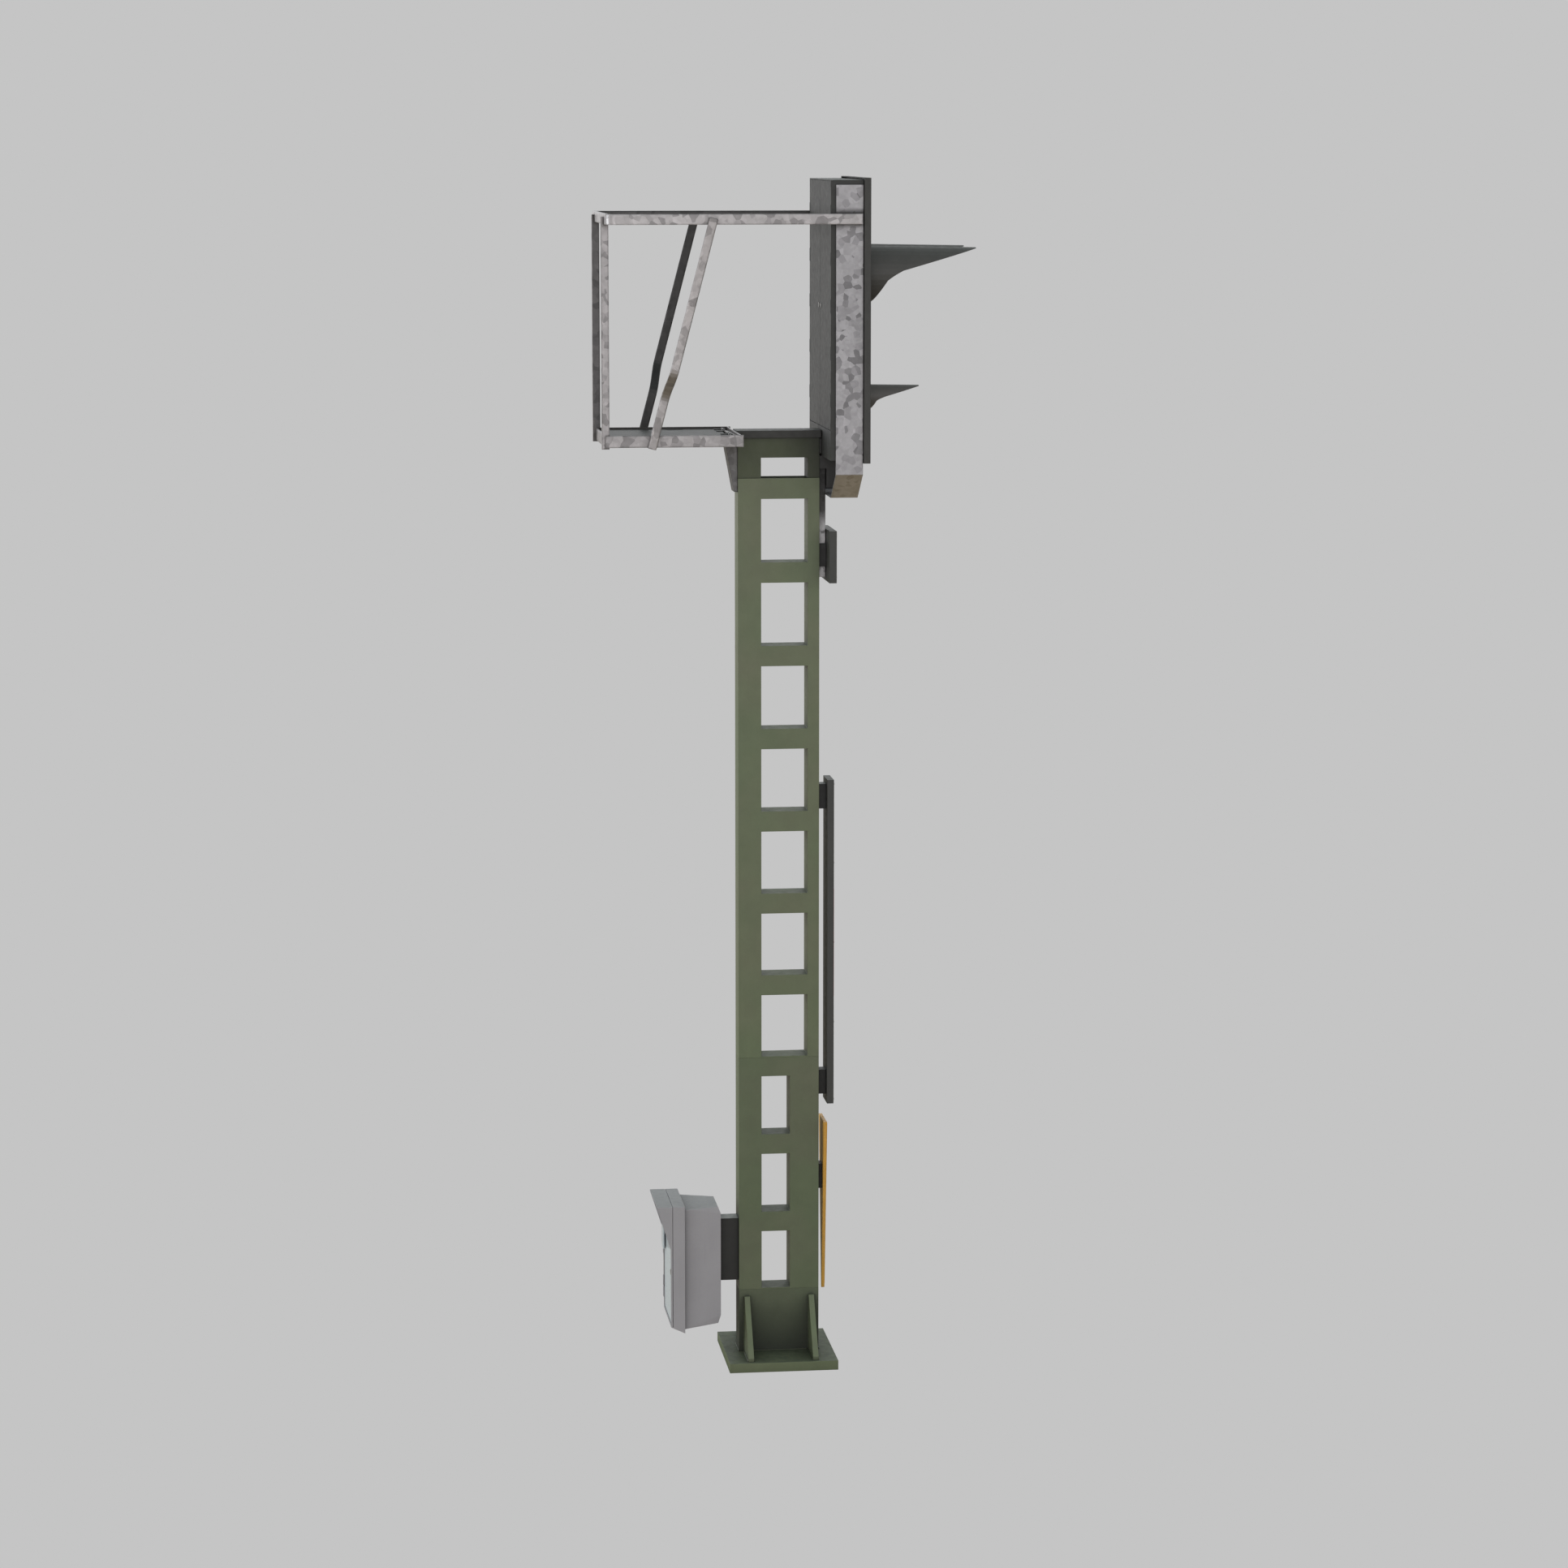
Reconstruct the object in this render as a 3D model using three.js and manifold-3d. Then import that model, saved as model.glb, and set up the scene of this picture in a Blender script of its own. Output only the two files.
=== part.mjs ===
// Colour-light railway signal on a flat framed mast, with work basket, signs and telephone box.
// Millimetres. +Z is up. The origin is the centre of the base plate's underside, on the mast axis.
// The lamps look along -Y, the basket and the telephone box are at +Y, and X runs across the track.

import * as THREE from 'three';
import { mergeVertices } from 'three/addons/utils/BufferGeometryUtils.js';
import { ConvexGeometry } from 'three/addons/geometries/ConvexGeometry.js';
import Module from 'manifold-3d';

const wasm = await Module();
wasm.setup();

// ---------------------------------------------------------------- driving dimensions

const GAP = 0.3;                // clearance between neighbouring pieces

// base and mast
const BASE_X = 570;
const BASE_Y = 520;
const BASE_T = 45;
const MAST_X = 135;             // thin side of the mast
const MAST_Y = 384;             // deep side of the mast
const WALL = 6;
const FOOT_TOP = 349;
const SEAM = 1484;              // joint of the lower and the upper mast
const UPPER_TOP = 4247;
const REAR_STILE = 109;
const WINDOW_H_UPPER = 298;
const WINDOW_W_UPPER = 220.5;
const WINDOW_PITCH_UPPER = 393.9;
const WINDOWS_UPPER = 7;
const FIRST_WINDOW_UPPER = 1489;
const WINDOW_H_LOWER = 284;
const WINDOW_W_LOWER = 136.5;
const WINDOW_PITCH_LOWER = 379.4;
const WINDOWS_LOWER = 3;
const TOP_WINDOW_LOWER = 1393;
const HEAD_SECTION_X = 129;
const HEAD_SECTION_TOP = 4465;
const HEAD_WINDOW_TOP = 4343;
const CAP_BOTTOM = 4436;
const CAP_TOP = 4470;
const CAP_OVERHANG = 7;
const GUSSET_T = 26;
const GUSSET_Y = 155;
const GUSSET_REACH = 262;
const GUSSET_TOP = 318;
const GUSSET_TOE = 16;          // upright edge left at both ends of the slope

// signal head
const PANEL_X = 800;
const PANEL_BOTTOM = 4337;
const PANEL_TOP = 5641;
const PANEL_FRONT = -386;
const PANEL_BACK = -355;
const PANEL_SKIN = 4;
const HOUSING_X = 770;
const HOUSING_BOTTOM = 4350;
const HOUSING_TOP = 5631;
const HOUSING_FRONT = -354;
const HOUSING_BACK = -203;
const HOUSING_WALL = 5;
const HOUSING_FLANGE = 28;      // rim left around the rear openings
const LEAF_SEAT = -207.4;       // the leaves lie in a recess of the rear face
const LEAF_BOTTOM = 4490;
const LEAF_TOP = 5625;
const LEAF_T = 4;
const LEAF_BACK = -203;
const HINGE_X = 374.8;          // axis of the rear leaves
const HINGE_Y = -205.2;
const KNUCKLE_R = 4.5;
const LOCK_X = 34;
const LOCK_Z = 5050;
const MULLION = 14;             // half width of the upright between the rear openings
const BAND_T = 6;
const BAND_REAR = -226;
const BAND_FRONT = -352;
const BAND_TOP = 5610;
const BAND_CHAMFER_TOP = 4285;
const BAND_BOTTOM = 4165;
const BAND_FOOT_X = 215;        // half width where the chamfers end
const STRAP_BOTTOM = 3777;
const STRAP_TOP = 4289;
const STRAP_DEEP = 33;
const BRACKET_HALF = 60;
const BRACKET_BOTTOM = 4200;
const BRACKET_FRONT = -345;

// lamps
const LAMP_X = 175;
const LAMP_Z = 5199;
const LAMP_R = 129;             // outside radius of a long hood at its root
const LAMP_HOOD = 519;
const SMALL_Z = 4622;
const SMALL_R = 57;
const SMALL_HOOD = 282;
// Lower edge of a hood: the full collar, then three points of the cut. y is the distance from
// the panel and z the height above the lamp's centre as a share of the radius.
const LAMP_CUT = {
  collar: 24.5, low: { y: 93, z: -0.221 }, bend: { y: 122, z: -0.037 }, flat: { y: 166, z: 0.132 },
};
const SMALL_CUT = {
  collar: 51, low: { y: 77, z: -0.33 }, bend: { y: 88, z: -0.16 }, flat: { y: 124, z: 0.05 },
};

// work basket
const TRAY_X = 580;
const TRAY_FRONT = 189;
const TRAY_FRONT_SHEET = 200;    // the front sheet stands clear of the mast cap
const TRAY_REAR = 828;
const TRAY_TOP = 4466;
const TRAY_H = 55;
const TRAY_T = 6;
const FLOOR_TOP = 4456;
const FLOOR_T = 5;
const FLOOR_HINGE_Y = 236;
const FLOOR_HINGE_Z = 4459;
const RAIL_X = 818;             // outside width of the rail hoop
const RAIL_T = 17;
const RAIL_BOTTOM = 5431;
const RAIL_TOP = 5479;
const RAIL_REAR = 830;
const RAIL_FRONT = -346;
const RAIL_CORNER = 45;
const POST_W = 34;
const POST_X = 266.5;
const POST_BACK = 843;
const BRACE_W = 40;
const BRACE_T = 13;
const BRACE_TOP = { y: 338, z: 5460 };
const BRACE_FOOT = { y: 615, z: 4404 };
const WEDGE_X = 60;             // half width of the bracket under the tray
const WEDGE_BOTTOM = 4184;

// signs
const SIGN_FACE = -262;
const NUMBER_X = 160;
const NUMBER_Z = 3882;
const NUMBER_H = 244;
const CLAMP_FRONT = -228;
const SIGN_X = 77.5;
const SIGN_BACK = -231;
const SIGN_BOTTOM = 1254;
const SIGN_TOP = 2818;
const SIGN_BRACKETS = { upper: 2734, lower: 1352 };
const SIGN_BRACKET_X = 32;
const SIGN_BRACKET_H = 118;
const TRIANGLE_FRONT = -229;
const TRIANGLE_BACK = -214;
const TRIANGLE_X = 97.5;        // half width at the upper edge
const TRIANGLE_TIP = 5;         // half width at the blunt lower tip
const TRIANGLE_TOP = 1167;
const TRIANGLE_BOTTOM = 332;
const TRIANGLE_BRACKET_BOTTOM = 830;
const TRIANGLE_BRACKET_TOP = 950;

// telephone box
const BOX_BACK = 284;
const BOX_FLANGE = 464;
const BOX_SEAM = 521;
const BOX_FACE = 531;
const BOX_HALF_X = 184;
const BOX_TOP = 794;
const BOX_HOOD_REACH = 597;
const BOX_BOTTOM = 202;
const BOX_HINGE_X = 190;
const BOX_HINGE_Y = 529;
const BOX_WALL = 5;
const BOX_OPENING_BOTTOM = 212;
const BOX_LOCK_X = -150;
const BOX_LOCK_Z = 470;
const BOX_BRACKET_X = 44;
const BOX_BRACKET_BOTTOM = 393;
const BOX_BRACKET_TOP = 697;
const BOX_KNUCKLES_FIXED = [340, 660];
const BOX_KNUCKLES_DOOR = [285, 500, 715];
const PHONE_X = 92;
const PHONE_FRONT = 350;
const PHONE_BOTTOM = 330;
const PHONE_TOP = 690;
const HANDSET_X = [-80, -30];
const CRADLE_Z = 397;           // tray that the mouthpiece stands in
const FORK_Z = 628;             // fork that the earpiece rests in

// colours
const GREEN = 0x5c624c;
const GREEN_DARK = 0x465040;
const GALVANISED = 0xa09e9e;
const CHARCOAL = 0x42423f;
const HOUSING_GREY = 0x5c5f5c;
const SIGN_GREY = 0x4b504b;
const ORANGE = 0xc88a28;
const BRACKET_BLACK = 0x2e2d2b;
const BOX_GREY = 0x8a898c;
const BOX_FACE_BLUE = 0xafb6bb;
const STEEL = 0x8c8c8c;

// ---------------------------------------------------------------- solids and meshes

function solid(geometry) {
  const bare = geometry.clone();
  bare.deleteAttribute('normal');
  bare.deleteAttribute('uv');
  const merged = mergeVertices(bare, 1e-4);
  return new wasm.Manifold(new wasm.Mesh({
    numProp: 3,
    vertProperties: new Float32Array(merged.attributes.position.array),
    triVerts: new Uint32Array(merged.index.array),
  }));
}

function geometryOf(body) {
  const mesh = body.getMesh();
  const geometry = new THREE.BufferGeometry();
  geometry.setAttribute('position', new THREE.BufferAttribute(mesh.vertProperties, 3));
  geometry.setIndex(new THREE.BufferAttribute(mesh.triVerts, 1));
  geometry.computeVertexNormals();
  return geometry;
}

function join(...parts) {
  return geometryOf(parts.map(solid).reduce((a, b) => a.add(b)));
}

function cut(body, ...tools) {
  return geometryOf(tools.map(solid).reduce((a, b) => a.subtract(b), solid(body)));
}

function common(a, b) {
  return geometryOf(solid(a).intersect(solid(b)));
}

function block(x0, x1, y0, y1, z0, z1) {
  const geometry = new THREE.BoxGeometry(x1 - x0, y1 - y0, z1 - z0);
  return geometry.translate((x0 + x1) / 2, (y0 + y1) / 2, (z0 + z1) / 2);
}

// A cylinder whose axis runs along Y between y0 and y1.
function drumY(r, y0, y1, x, z, sides = 20) {
  return new THREE.CylinderGeometry(r, r, y1 - y0, sides).translate(x, (y0 + y1) / 2, z);
}

// A cylinder whose axis runs along X between x0 and x1.
function drumX(r, x0, x1, y, z, sides = 12) {
  const geometry = new THREE.CylinderGeometry(r, r, x1 - x0, sides).rotateZ(Math.PI / 2);
  return geometry.translate((x0 + x1) / 2, y, z);
}

// A cylinder whose axis runs along Z between z0 and z1.
function drumZ(r, z0, z1, x, y, sides = 12) {
  const geometry = new THREE.CylinderGeometry(r, r, z1 - z0, sides).rotateX(Math.PI / 2);
  return geometry.translate(x, y, (z0 + z1) / 2);
}

// An outline of [x, z] corners, pushed from y0 to y1.
function plateXZ(corners, y0, y1) {
  const shape = new THREE.Shape(corners.map(([x, z]) => new THREE.Vector2(x, z)));
  const geometry = new THREE.ExtrudeGeometry(shape, { depth: y1 - y0, bevelEnabled: false });
  return geometry.rotateX(Math.PI / 2).translate(0, y1, 0);
}

// A shape drawn in [y, z], pushed from x0 to x1.
function plateYZ(shape, x0, x1) {
  const geometry = new THREE.ExtrudeGeometry(shape, { depth: x1 - x0, bevelEnabled: false });
  geometry.rotateX(Math.PI / 2).rotateZ(Math.PI / 2);
  return geometry.translate(x0, 0, 0);
}

function outline(corners) {
  return new THREE.Shape(corners.map(([a, b]) => new THREE.Vector2(a, b)));
}

const group = new THREE.Group();

function add(name, geometry, color, roughness, metalness, parent = group) {
  const material = new THREE.MeshStandardMaterial({ color, roughness, metalness });
  const mesh = new THREE.Mesh(geometry, material);
  mesh.name = name;
  parent.add(mesh);
  return mesh;
}

// A turning group: its pieces are drawn around its own axis.
function pivot(x, y, z) {
  const turning = new THREE.Group();
  turning.position.set(x, y, z);
  group.add(turning);
  return turning;
}

// ---------------------------------------------------------------- base and mast

// A welded frame of box stiles and rungs: closed walls around every window, hollow inside,
// open at both ends so that the cable can run up the stiles.
function framedSection(width, z0, z1, windows) {
  const x = width / 2;
  const y = MAST_Y / 2;
  const shell = cut(
    block(-x, x, -y, y, z0, z1),
    ...windows.map((w) => block(-x - 1, x + 1, w.y0, w.y1, w.z0, w.z1)),
  );
  const hollow = cut(
    block(-x + WALL, x - WALL, -y + WALL, y - WALL, z0 - 1, z1 + 1),
    ...windows.map((w) => block(-x, x, w.y0 - WALL, w.y1 + WALL, w.z0 - WALL, w.z1 + WALL)),
  );
  return cut(shell, hollow);
}

function windowAt(z0, height, width) {
  const y1 = MAST_Y / 2 - REAR_STILE;
  return { y0: y1 - width, y1, z0, z1: z0 + height };
}

function upperWindows() {
  const windows = [];
  for (let i = 0; i < WINDOWS_UPPER; i += 1) {
    const z0 = FIRST_WINDOW_UPPER + i * WINDOW_PITCH_UPPER;
    windows.push(windowAt(z0, WINDOW_H_UPPER, WINDOW_W_UPPER));
  }
  return windows;
}

function lowerWindows() {
  const windows = [];
  for (let i = 0; i < WINDOWS_LOWER; i += 1) {
    const z1 = TOP_WINDOW_LOWER - i * WINDOW_PITCH_LOWER;
    const z0 = Math.max(z1 - WINDOW_H_LOWER, FOOT_TOP + WALL);
    windows.push(windowAt(z0, z1 - z0, WINDOW_W_LOWER));
  }
  return windows;
}

function addBaseAndMast() {
  const x = MAST_X / 2;
  const y = MAST_Y / 2;
  add('base_plate', block(-BASE_X / 2, BASE_X / 2, -BASE_Y / 2, BASE_Y / 2, 0, BASE_T), GREEN, 0.6, 0.1);
  add('foot_section', cut(
    block(-x, x, -y, y, BASE_T + GAP, FOOT_TOP),
    block(-x + 8, x - 8, -y + 8, y - 8, BASE_T - 1, FOOT_TOP + 1),
  ), GREEN_DARK, 0.6, 0.1);
  add('lower_mast', framedSection(MAST_X, FOOT_TOP + GAP, SEAM, lowerWindows()), GREEN, 0.6, 0.1);
  add('upper_mast', framedSection(MAST_X, SEAM + GAP, UPPER_TOP, upperWindows()), GREEN, 0.6, 0.1);
  const opening = windowAt(UPPER_TOP - 50, HEAD_WINDOW_TOP - UPPER_TOP + 50, WINDOW_W_UPPER);
  const headSection = framedSection(HEAD_SECTION_X, UPPER_TOP + GAP, HEAD_SECTION_TOP, [opening]);
  add('mast_head_section', headSection, GREEN_DARK, 0.6, 0.1);
  add('mast_cap', mastCap(), BRACKET_BLACK, 0.5, 0.3);
  for (const [end, sy] of [['front', -1], ['rear', 1]]) {
    for (const [side, sx] of [['left', -1], ['right', 1]]) {
      add(`gusset_${end}_${side}`, gusset(sx, sy * GUSSET_Y), GREEN, 0.6, 0.1);
    }
  }
}

function gusset(side, y) {
  const root = side * (MAST_X / 2 + GAP);
  const toe = side * GUSSET_REACH;
  const foot = BASE_T + GAP;
  const corners = [
    [root, foot],
    [toe, foot],
    [toe, foot + GUSSET_TOE],
    [root + side * GUSSET_TOE, GUSSET_TOP],
    [root, GUSSET_TOP],
  ];
  return plateXZ(side > 0 ? corners : corners.reverse(), y - GUSSET_T / 2, y + GUSSET_T / 2);
}

// A folded lid whose skirt reaches down around the mast head.
function mastCap() {
  const x = MAST_X / 2 + CAP_OVERHANG;
  const y = MAST_Y / 2 + CAP_OVERHANG;
  const skirt = 4;
  return cut(
    block(-x, x, -y, y, CAP_BOTTOM, CAP_TOP),
    block(-x + skirt, x - skirt, -y + skirt, y - skirt, CAP_BOTTOM - 1, HEAD_SECTION_TOP + GAP),
  );
}

// ---------------------------------------------------------------- signal head

function addHeadSupport() {
  const mastFront = -MAST_Y / 2 - GAP;
  const half = 28;
  const channel = cut(
    block(-half, half, mastFront - STRAP_DEEP, mastFront, STRAP_BOTTOM, STRAP_TOP),
    block(
      -half + WALL, half - WALL, mastFront - STRAP_DEEP + WALL, mastFront + 1,
      STRAP_BOTTOM - 1, STRAP_TOP + 1,
    ),
  );
  add('head_strap', channel, GALVANISED, 0.45, 0.7);
  add('head_bracket', headBracket(mastFront), BRACKET_BLACK, 0.5, 0.3);
  const padBottom = 4362;
  const pad = block(
    -BRACKET_HALF, BRACKET_HALF, HOUSING_BACK + GAP, mastFront, padBottom, CAP_BOTTOM - 6,
  );
  add('head_mount_pad', pad, BRACKET_BLACK, 0.5, 0.3);
}

// Two cheeks and a top plate: bolted to the mast, to the strap's upper end and under the housing.
function headBracket(mastFront) {
  const top = HOUSING_BOTTOM - GAP;
  const step = STRAP_TOP + GAP;
  const strapFront = mastFront - STRAP_DEEP - GAP;
  const side = outline([
    [mastFront, step], [mastFront, top], [BRACKET_FRONT, top],
    [BRACKET_FRONT, BRACKET_BOTTOM], [strapFront, BRACKET_BOTTOM], [strapFront, step],
  ]);
  const inside = outline([
    [mastFront + 1, BRACKET_BOTTOM - 1], [mastFront + 1, top - WALL],
    [BRACKET_FRONT + WALL, top - WALL], [BRACKET_FRONT + WALL, BRACKET_BOTTOM - 1],
  ]);
  const inner = BRACKET_HALF - WALL;
  return cut(plateYZ(side, -BRACKET_HALF, BRACKET_HALF), plateYZ(inside, -inner, inner));
}

// The galvanised carrier: an open band around both sides and under the head, drawn in at the
// bottom by two chamfers.
function headCarrier() {
  const outer = HOUSING_X / 2 + GAP + BAND_T;
  const contour = (inset) => [
    [-outer + inset, BAND_TOP + (inset ? 50 : 0)],
    [-outer + inset, BAND_CHAMFER_TOP + inset * 0.4],
    [-BAND_FOOT_X, BAND_BOTTOM + inset],
    [BAND_FOOT_X, BAND_BOTTOM + inset],
    [outer - inset, BAND_CHAMFER_TOP + inset * 0.4],
    [outer - inset, BAND_TOP + (inset ? 50 : 0)],
  ];
  return cut(
    plateXZ(contour(0), BAND_FRONT, BAND_REAR),
    plateXZ(contour(BAND_T), BAND_FRONT - 1, BAND_REAR + 1),
  );
}

// The housing: a deep frame, open to the panel in front, with a recess behind for the leaves
// and a groove down both sides for their hinges.
function headHousing() {
  const x = HOUSING_X / 2;
  const innerX = x - HOUSING_WALL;
  const openX = x - HOUSING_FLANGE;
  const rimBack = LEAF_SEAT - HOUSING_WALL;
  const openBottom = LEAF_BOTTOM + 20;
  const openTop = HOUSING_TOP - HOUSING_FLANGE;
  const frame = cut(
    block(-x, x, HOUSING_FRONT, HOUSING_BACK, HOUSING_BOTTOM, HOUSING_TOP),
    block(
      -innerX, innerX, HOUSING_FRONT - 1, rimBack,
      HOUSING_BOTTOM + HOUSING_WALL, HOUSING_TOP - HOUSING_WALL,
    ),
    block(
      -innerX, innerX, LEAF_SEAT, HOUSING_BACK + 1, LEAF_BOTTOM - 4, HOUSING_TOP - HOUSING_WALL,
    ),
    block(-openX, -MULLION, rimBack - 1, LEAF_SEAT + 1, openBottom, openTop),
    block(MULLION, openX, rimBack - 1, LEAF_SEAT + 1, openBottom, openTop),
    drumZ(KNUCKLE_R + 0.7, LEAF_BOTTOM - 4, HOUSING_TOP - HOUSING_WALL, -HINGE_X, HINGE_Y),
    drumZ(KNUCKLE_R + 0.7, LEAF_BOTTOM - 4, HOUSING_TOP - HOUSING_WALL, HINGE_X, HINGE_Y),
  );
  const knuckles = [-1, 1].flatMap((side) => (
    knuckleHeights(true).map((z) => knuckle(side * HINGE_X, z, rimBack + 1))
  ));
  return join(frame, ...knuckles);
}

// Heights of the hinge knuckles: the leaf holds three, the housing the two between them.
function knuckleHeights(onHousing) {
  const middle = (LEAF_BOTTOM + LEAF_TOP) / 2;
  const reach = 430;
  return onHousing ? [middle - reach / 2, middle + reach / 2] : [middle - reach, middle, middle + reach];
}

// A housing knuckle: a bored barrel standing on a foot that reaches forward to footY.
function knuckle(x, z, footY) {
  const half = 30;
  const barrel = drumZ(KNUCKLE_R, z - half, z + half, x, HINGE_Y);
  const foot = block(x - KNUCKLE_R, x + KNUCKLE_R, footY, HINGE_Y, z - half, z + half);
  return cut(join(barrel, foot), drumZ(3, z - half - 1, z + half + 1, x, HINGE_Y));
}

// A leaf knuckle: a bored barrel with a short tongue that runs into the edge of the sheet.
function leafKnuckle(side, z) {
  const half = 30;
  const x = side * HINGE_X;
  const root = x - side * 7;
  const barrel = drumZ(KNUCKLE_R, z - half, z + half, x, HINGE_Y);
  const tongue = block(
    Math.min(root, x), Math.max(root, x), LEAF_BACK - LEAF_T, LEAF_BACK, z - half, z + half,
  );
  return cut(join(barrel, tongue), drumZ(3, z - half - 1, z + half + 1, x, HINGE_Y));
}

function rearLeaf(side) {
  const outerEdge = side * (HINGE_X - 3.4);
  const innerEdge = side * 1.5;
  const sheet = block(
    Math.min(outerEdge, innerEdge), Math.max(outerEdge, innerEdge),
    LEAF_BACK - LEAF_T, LEAF_BACK, LEAF_BOTTOM, LEAF_TOP,
  );
  const relief = knuckleHeights(true).map((z) => {
    const a = side * (HINGE_X - 8);
    const b = side * (HINGE_X + 8);
    return block(Math.min(a, b), Math.max(a, b), LEAF_BACK - 10, LEAF_BACK + 10, z - 32, z + 32);
  });
  const bore = drumY(9.4, LEAF_BACK - 10, LEAF_BACK + 1, side * LOCK_X, LOCK_Z);
  const plain = cut(sheet, ...relief, bore);
  return join(plain, ...knuckleHeights(false).map((z) => leafKnuckle(side, z)));
}

// A square-key lock: a flat barrel through the sheet with a cam behind it, upright when it is
// unlocked. Drawn at its own axis; camDepth is how far behind the sheet the cam turns.
function camLock(camDepth, reach) {
  const barrel = drumY(9, -camDepth - 1, 1.5, 0, 0);
  const rose = drumY(13, 0.3, 2.5, 0, 0);
  const cam = block(-6, 6, -camDepth - 4.5, -camDepth, -9, reach);
  const key = block(-3.5, 3.5, -1.5, 3, -3.5, 3.5);
  return cut(join(barrel, rose, cam), key);
}

function addHead() {
  add('head_carrier', headCarrier(), GALVANISED, 0.45, 0.7);
  add('head_housing', headHousing(), HOUSING_GREY, 0.55, 0.2);
  add('front_panel', frontPanel(), CHARCOAL, 0.7, 0.1);
  for (const [side, sx] of [['left', -1], ['right', 1]]) {
    const leafGroup = pivot(sx * HINGE_X, HINGE_Y, 0);
    const leaf = rearLeaf(sx).translate(-sx * HINGE_X, -HINGE_Y, 0);
    add(`rear_leaf_${side}`, leaf, HOUSING_GREY, 0.55, 0.2, leafGroup);
    const rod = drumZ(2.7, LEAF_BOTTOM + 30, LEAF_TOP - 30, sx * HINGE_X, HINGE_Y);
    add(`leaf_hinge_rod_${side}`, rod, STEEL, 0.3, 0.9);
    const lock = add(`leaf_lock_${side}`, camLock(10.3, 30), STEEL, 0.35, 0.9, leafGroup);
    lock.position.set(sx * (LOCK_X - HINGE_X), LEAF_BACK - HINGE_Y, LOCK_Z);
  }
  add('terminal_strip', terminalStrip(), BOX_GREY, 0.6, 0);
}

// A shallow tray: the dark front skin with turned-back edges, and a hole for every lamp.
function frontPanel() {
  const x = PANEL_X / 2;
  const tray = cut(
    block(-x, x, PANEL_FRONT, PANEL_BACK, PANEL_BOTTOM, PANEL_TOP),
    block(-x + PANEL_SKIN, x - PANEL_SKIN, PANEL_FRONT + PANEL_SKIN, PANEL_BACK + 1,
      PANEL_BOTTOM + PANEL_SKIN, PANEL_TOP - PANEL_SKIN),
  );
  const holes = lamps().map((l) => drumY(l.r - 12, PANEL_FRONT - 1, PANEL_BACK, l.x, l.z, 32));
  return cut(tray, ...holes);
}

function terminalStrip() {
  const y = -222;
  const half = 210;
  const bottom = 4550;
  const top = 4610;
  const pitch = 38;
  const rail = block(-half, half, y - 4, y, bottom + 10, top - 10);
  const clamps = [];
  for (let x = -5 * pitch; x <= 5 * pitch; x += pitch) {
    clamps.push(block(x - 14, x + 14, y - 34, y - 2, bottom, top));
  }
  const wall = LEAF_SEAT - HOUSING_WALL - GAP;
  const feet = [-200, 200].map((x) => block(x - 8, x + 8, y - 3, wall, bottom - 110, bottom + 25));
  return join(rail, ...clamps, ...feet);
}

function lamps() {
  return [
    { name: 'left', x: -LAMP_X, z: LAMP_Z, r: LAMP_R, color: 0x1f8a55 },
    { name: 'right', x: LAMP_X, z: LAMP_Z, r: LAMP_R, color: 0xa01c1c },
    { name: 'small', x: 0, z: SMALL_Z, r: SMALL_R, color: 0xdadada },
  ];
}

// The tapered tube of a hood, turned around the Y axis, from the panel out to its tip.
function hoodTube(r, length) {
  const wall = 3;
  const tipR = r - length * 0.017;
  const profile = [
    new THREE.Vector2(r - wall, 0),
    new THREE.Vector2(r, 0),
    new THREE.Vector2(tipR, length),
    new THREE.Vector2(tipR - wall, length),
    new THREE.Vector2(r - wall, 0),
  ];
  return new THREE.LatheGeometry(profile, 32).rotateX(Math.PI);
}

// The side view of a hood above its lower edge: a full collar, a steep rise, a long flat run out.
function hoodProfile(r, length, run) {
  const shape = new THREE.Shape();
  const tip = r - length * 0.017;
  shape.moveTo(1, r + 5);
  shape.lineTo(1, -r - 5);
  shape.lineTo(-run.collar, -r - 5);
  shape.lineTo(-run.low.y, run.low.z * r);
  shape.quadraticCurveTo(-run.bend.y, run.bend.z * r, -run.flat.y, run.flat.z * r);
  shape.lineTo(-length + 3, tip - 5);
  shape.quadraticCurveTo(-length - 1, tip - 4, -length - 1, tip + 1);
  shape.lineTo(-length - 1, r + 5);
  return shape;
}

function hood(lamp) {
  const small = lamp.name === 'small';
  const length = small ? SMALL_HOOD : LAMP_HOOD;
  const run = small ? SMALL_CUT : LAMP_CUT;
  const reach = lamp.r + 5;
  const piece = common(hoodTube(lamp.r, length), plateYZ(hoodProfile(lamp.r, length, run), -reach, reach));
  return piece.translate(lamp.x, PANEL_FRONT - GAP, lamp.z);
}

// The lamp cup behind the panel: a turned shell, open towards the lens.
function lampUnit(lamp) {
  const outer = lamp.r - 12.5;
  const deep = lamp.r > 100 ? 128 : 96;
  const shell = 5;
  const profile = [
    [outer - 4, 0], [outer, 0], [outer, 34], [outer * 0.55, deep], [0, deep],
    [0, deep - shell], [outer * 0.5, deep - shell], [outer - 4, 32], [outer - 4, 0],
  ].map(([r, a]) => new THREE.Vector2(r, a));
  return new THREE.LatheGeometry(profile, 24).translate(lamp.x, PANEL_FRONT + 1, lamp.z);
}

// A convex lens disc that fills the mouth of the cup.
function lens(lamp) {
  const r = lamp.r - 17;
  const bulge = 0.09 * r;
  const profile = [
    [0, 14], [r, 14], [r, 6],
    [r * 0.8, 6 - bulge * 0.36], [r * 0.5, 6 - bulge * 0.75], [0, 6 - bulge],
  ];
  const points = profile.map(([a, b]) => new THREE.Vector2(a, b)).reverse();
  return new THREE.LatheGeometry(points, 24).translate(lamp.x, PANEL_FRONT + 5, lamp.z);
}

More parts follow.
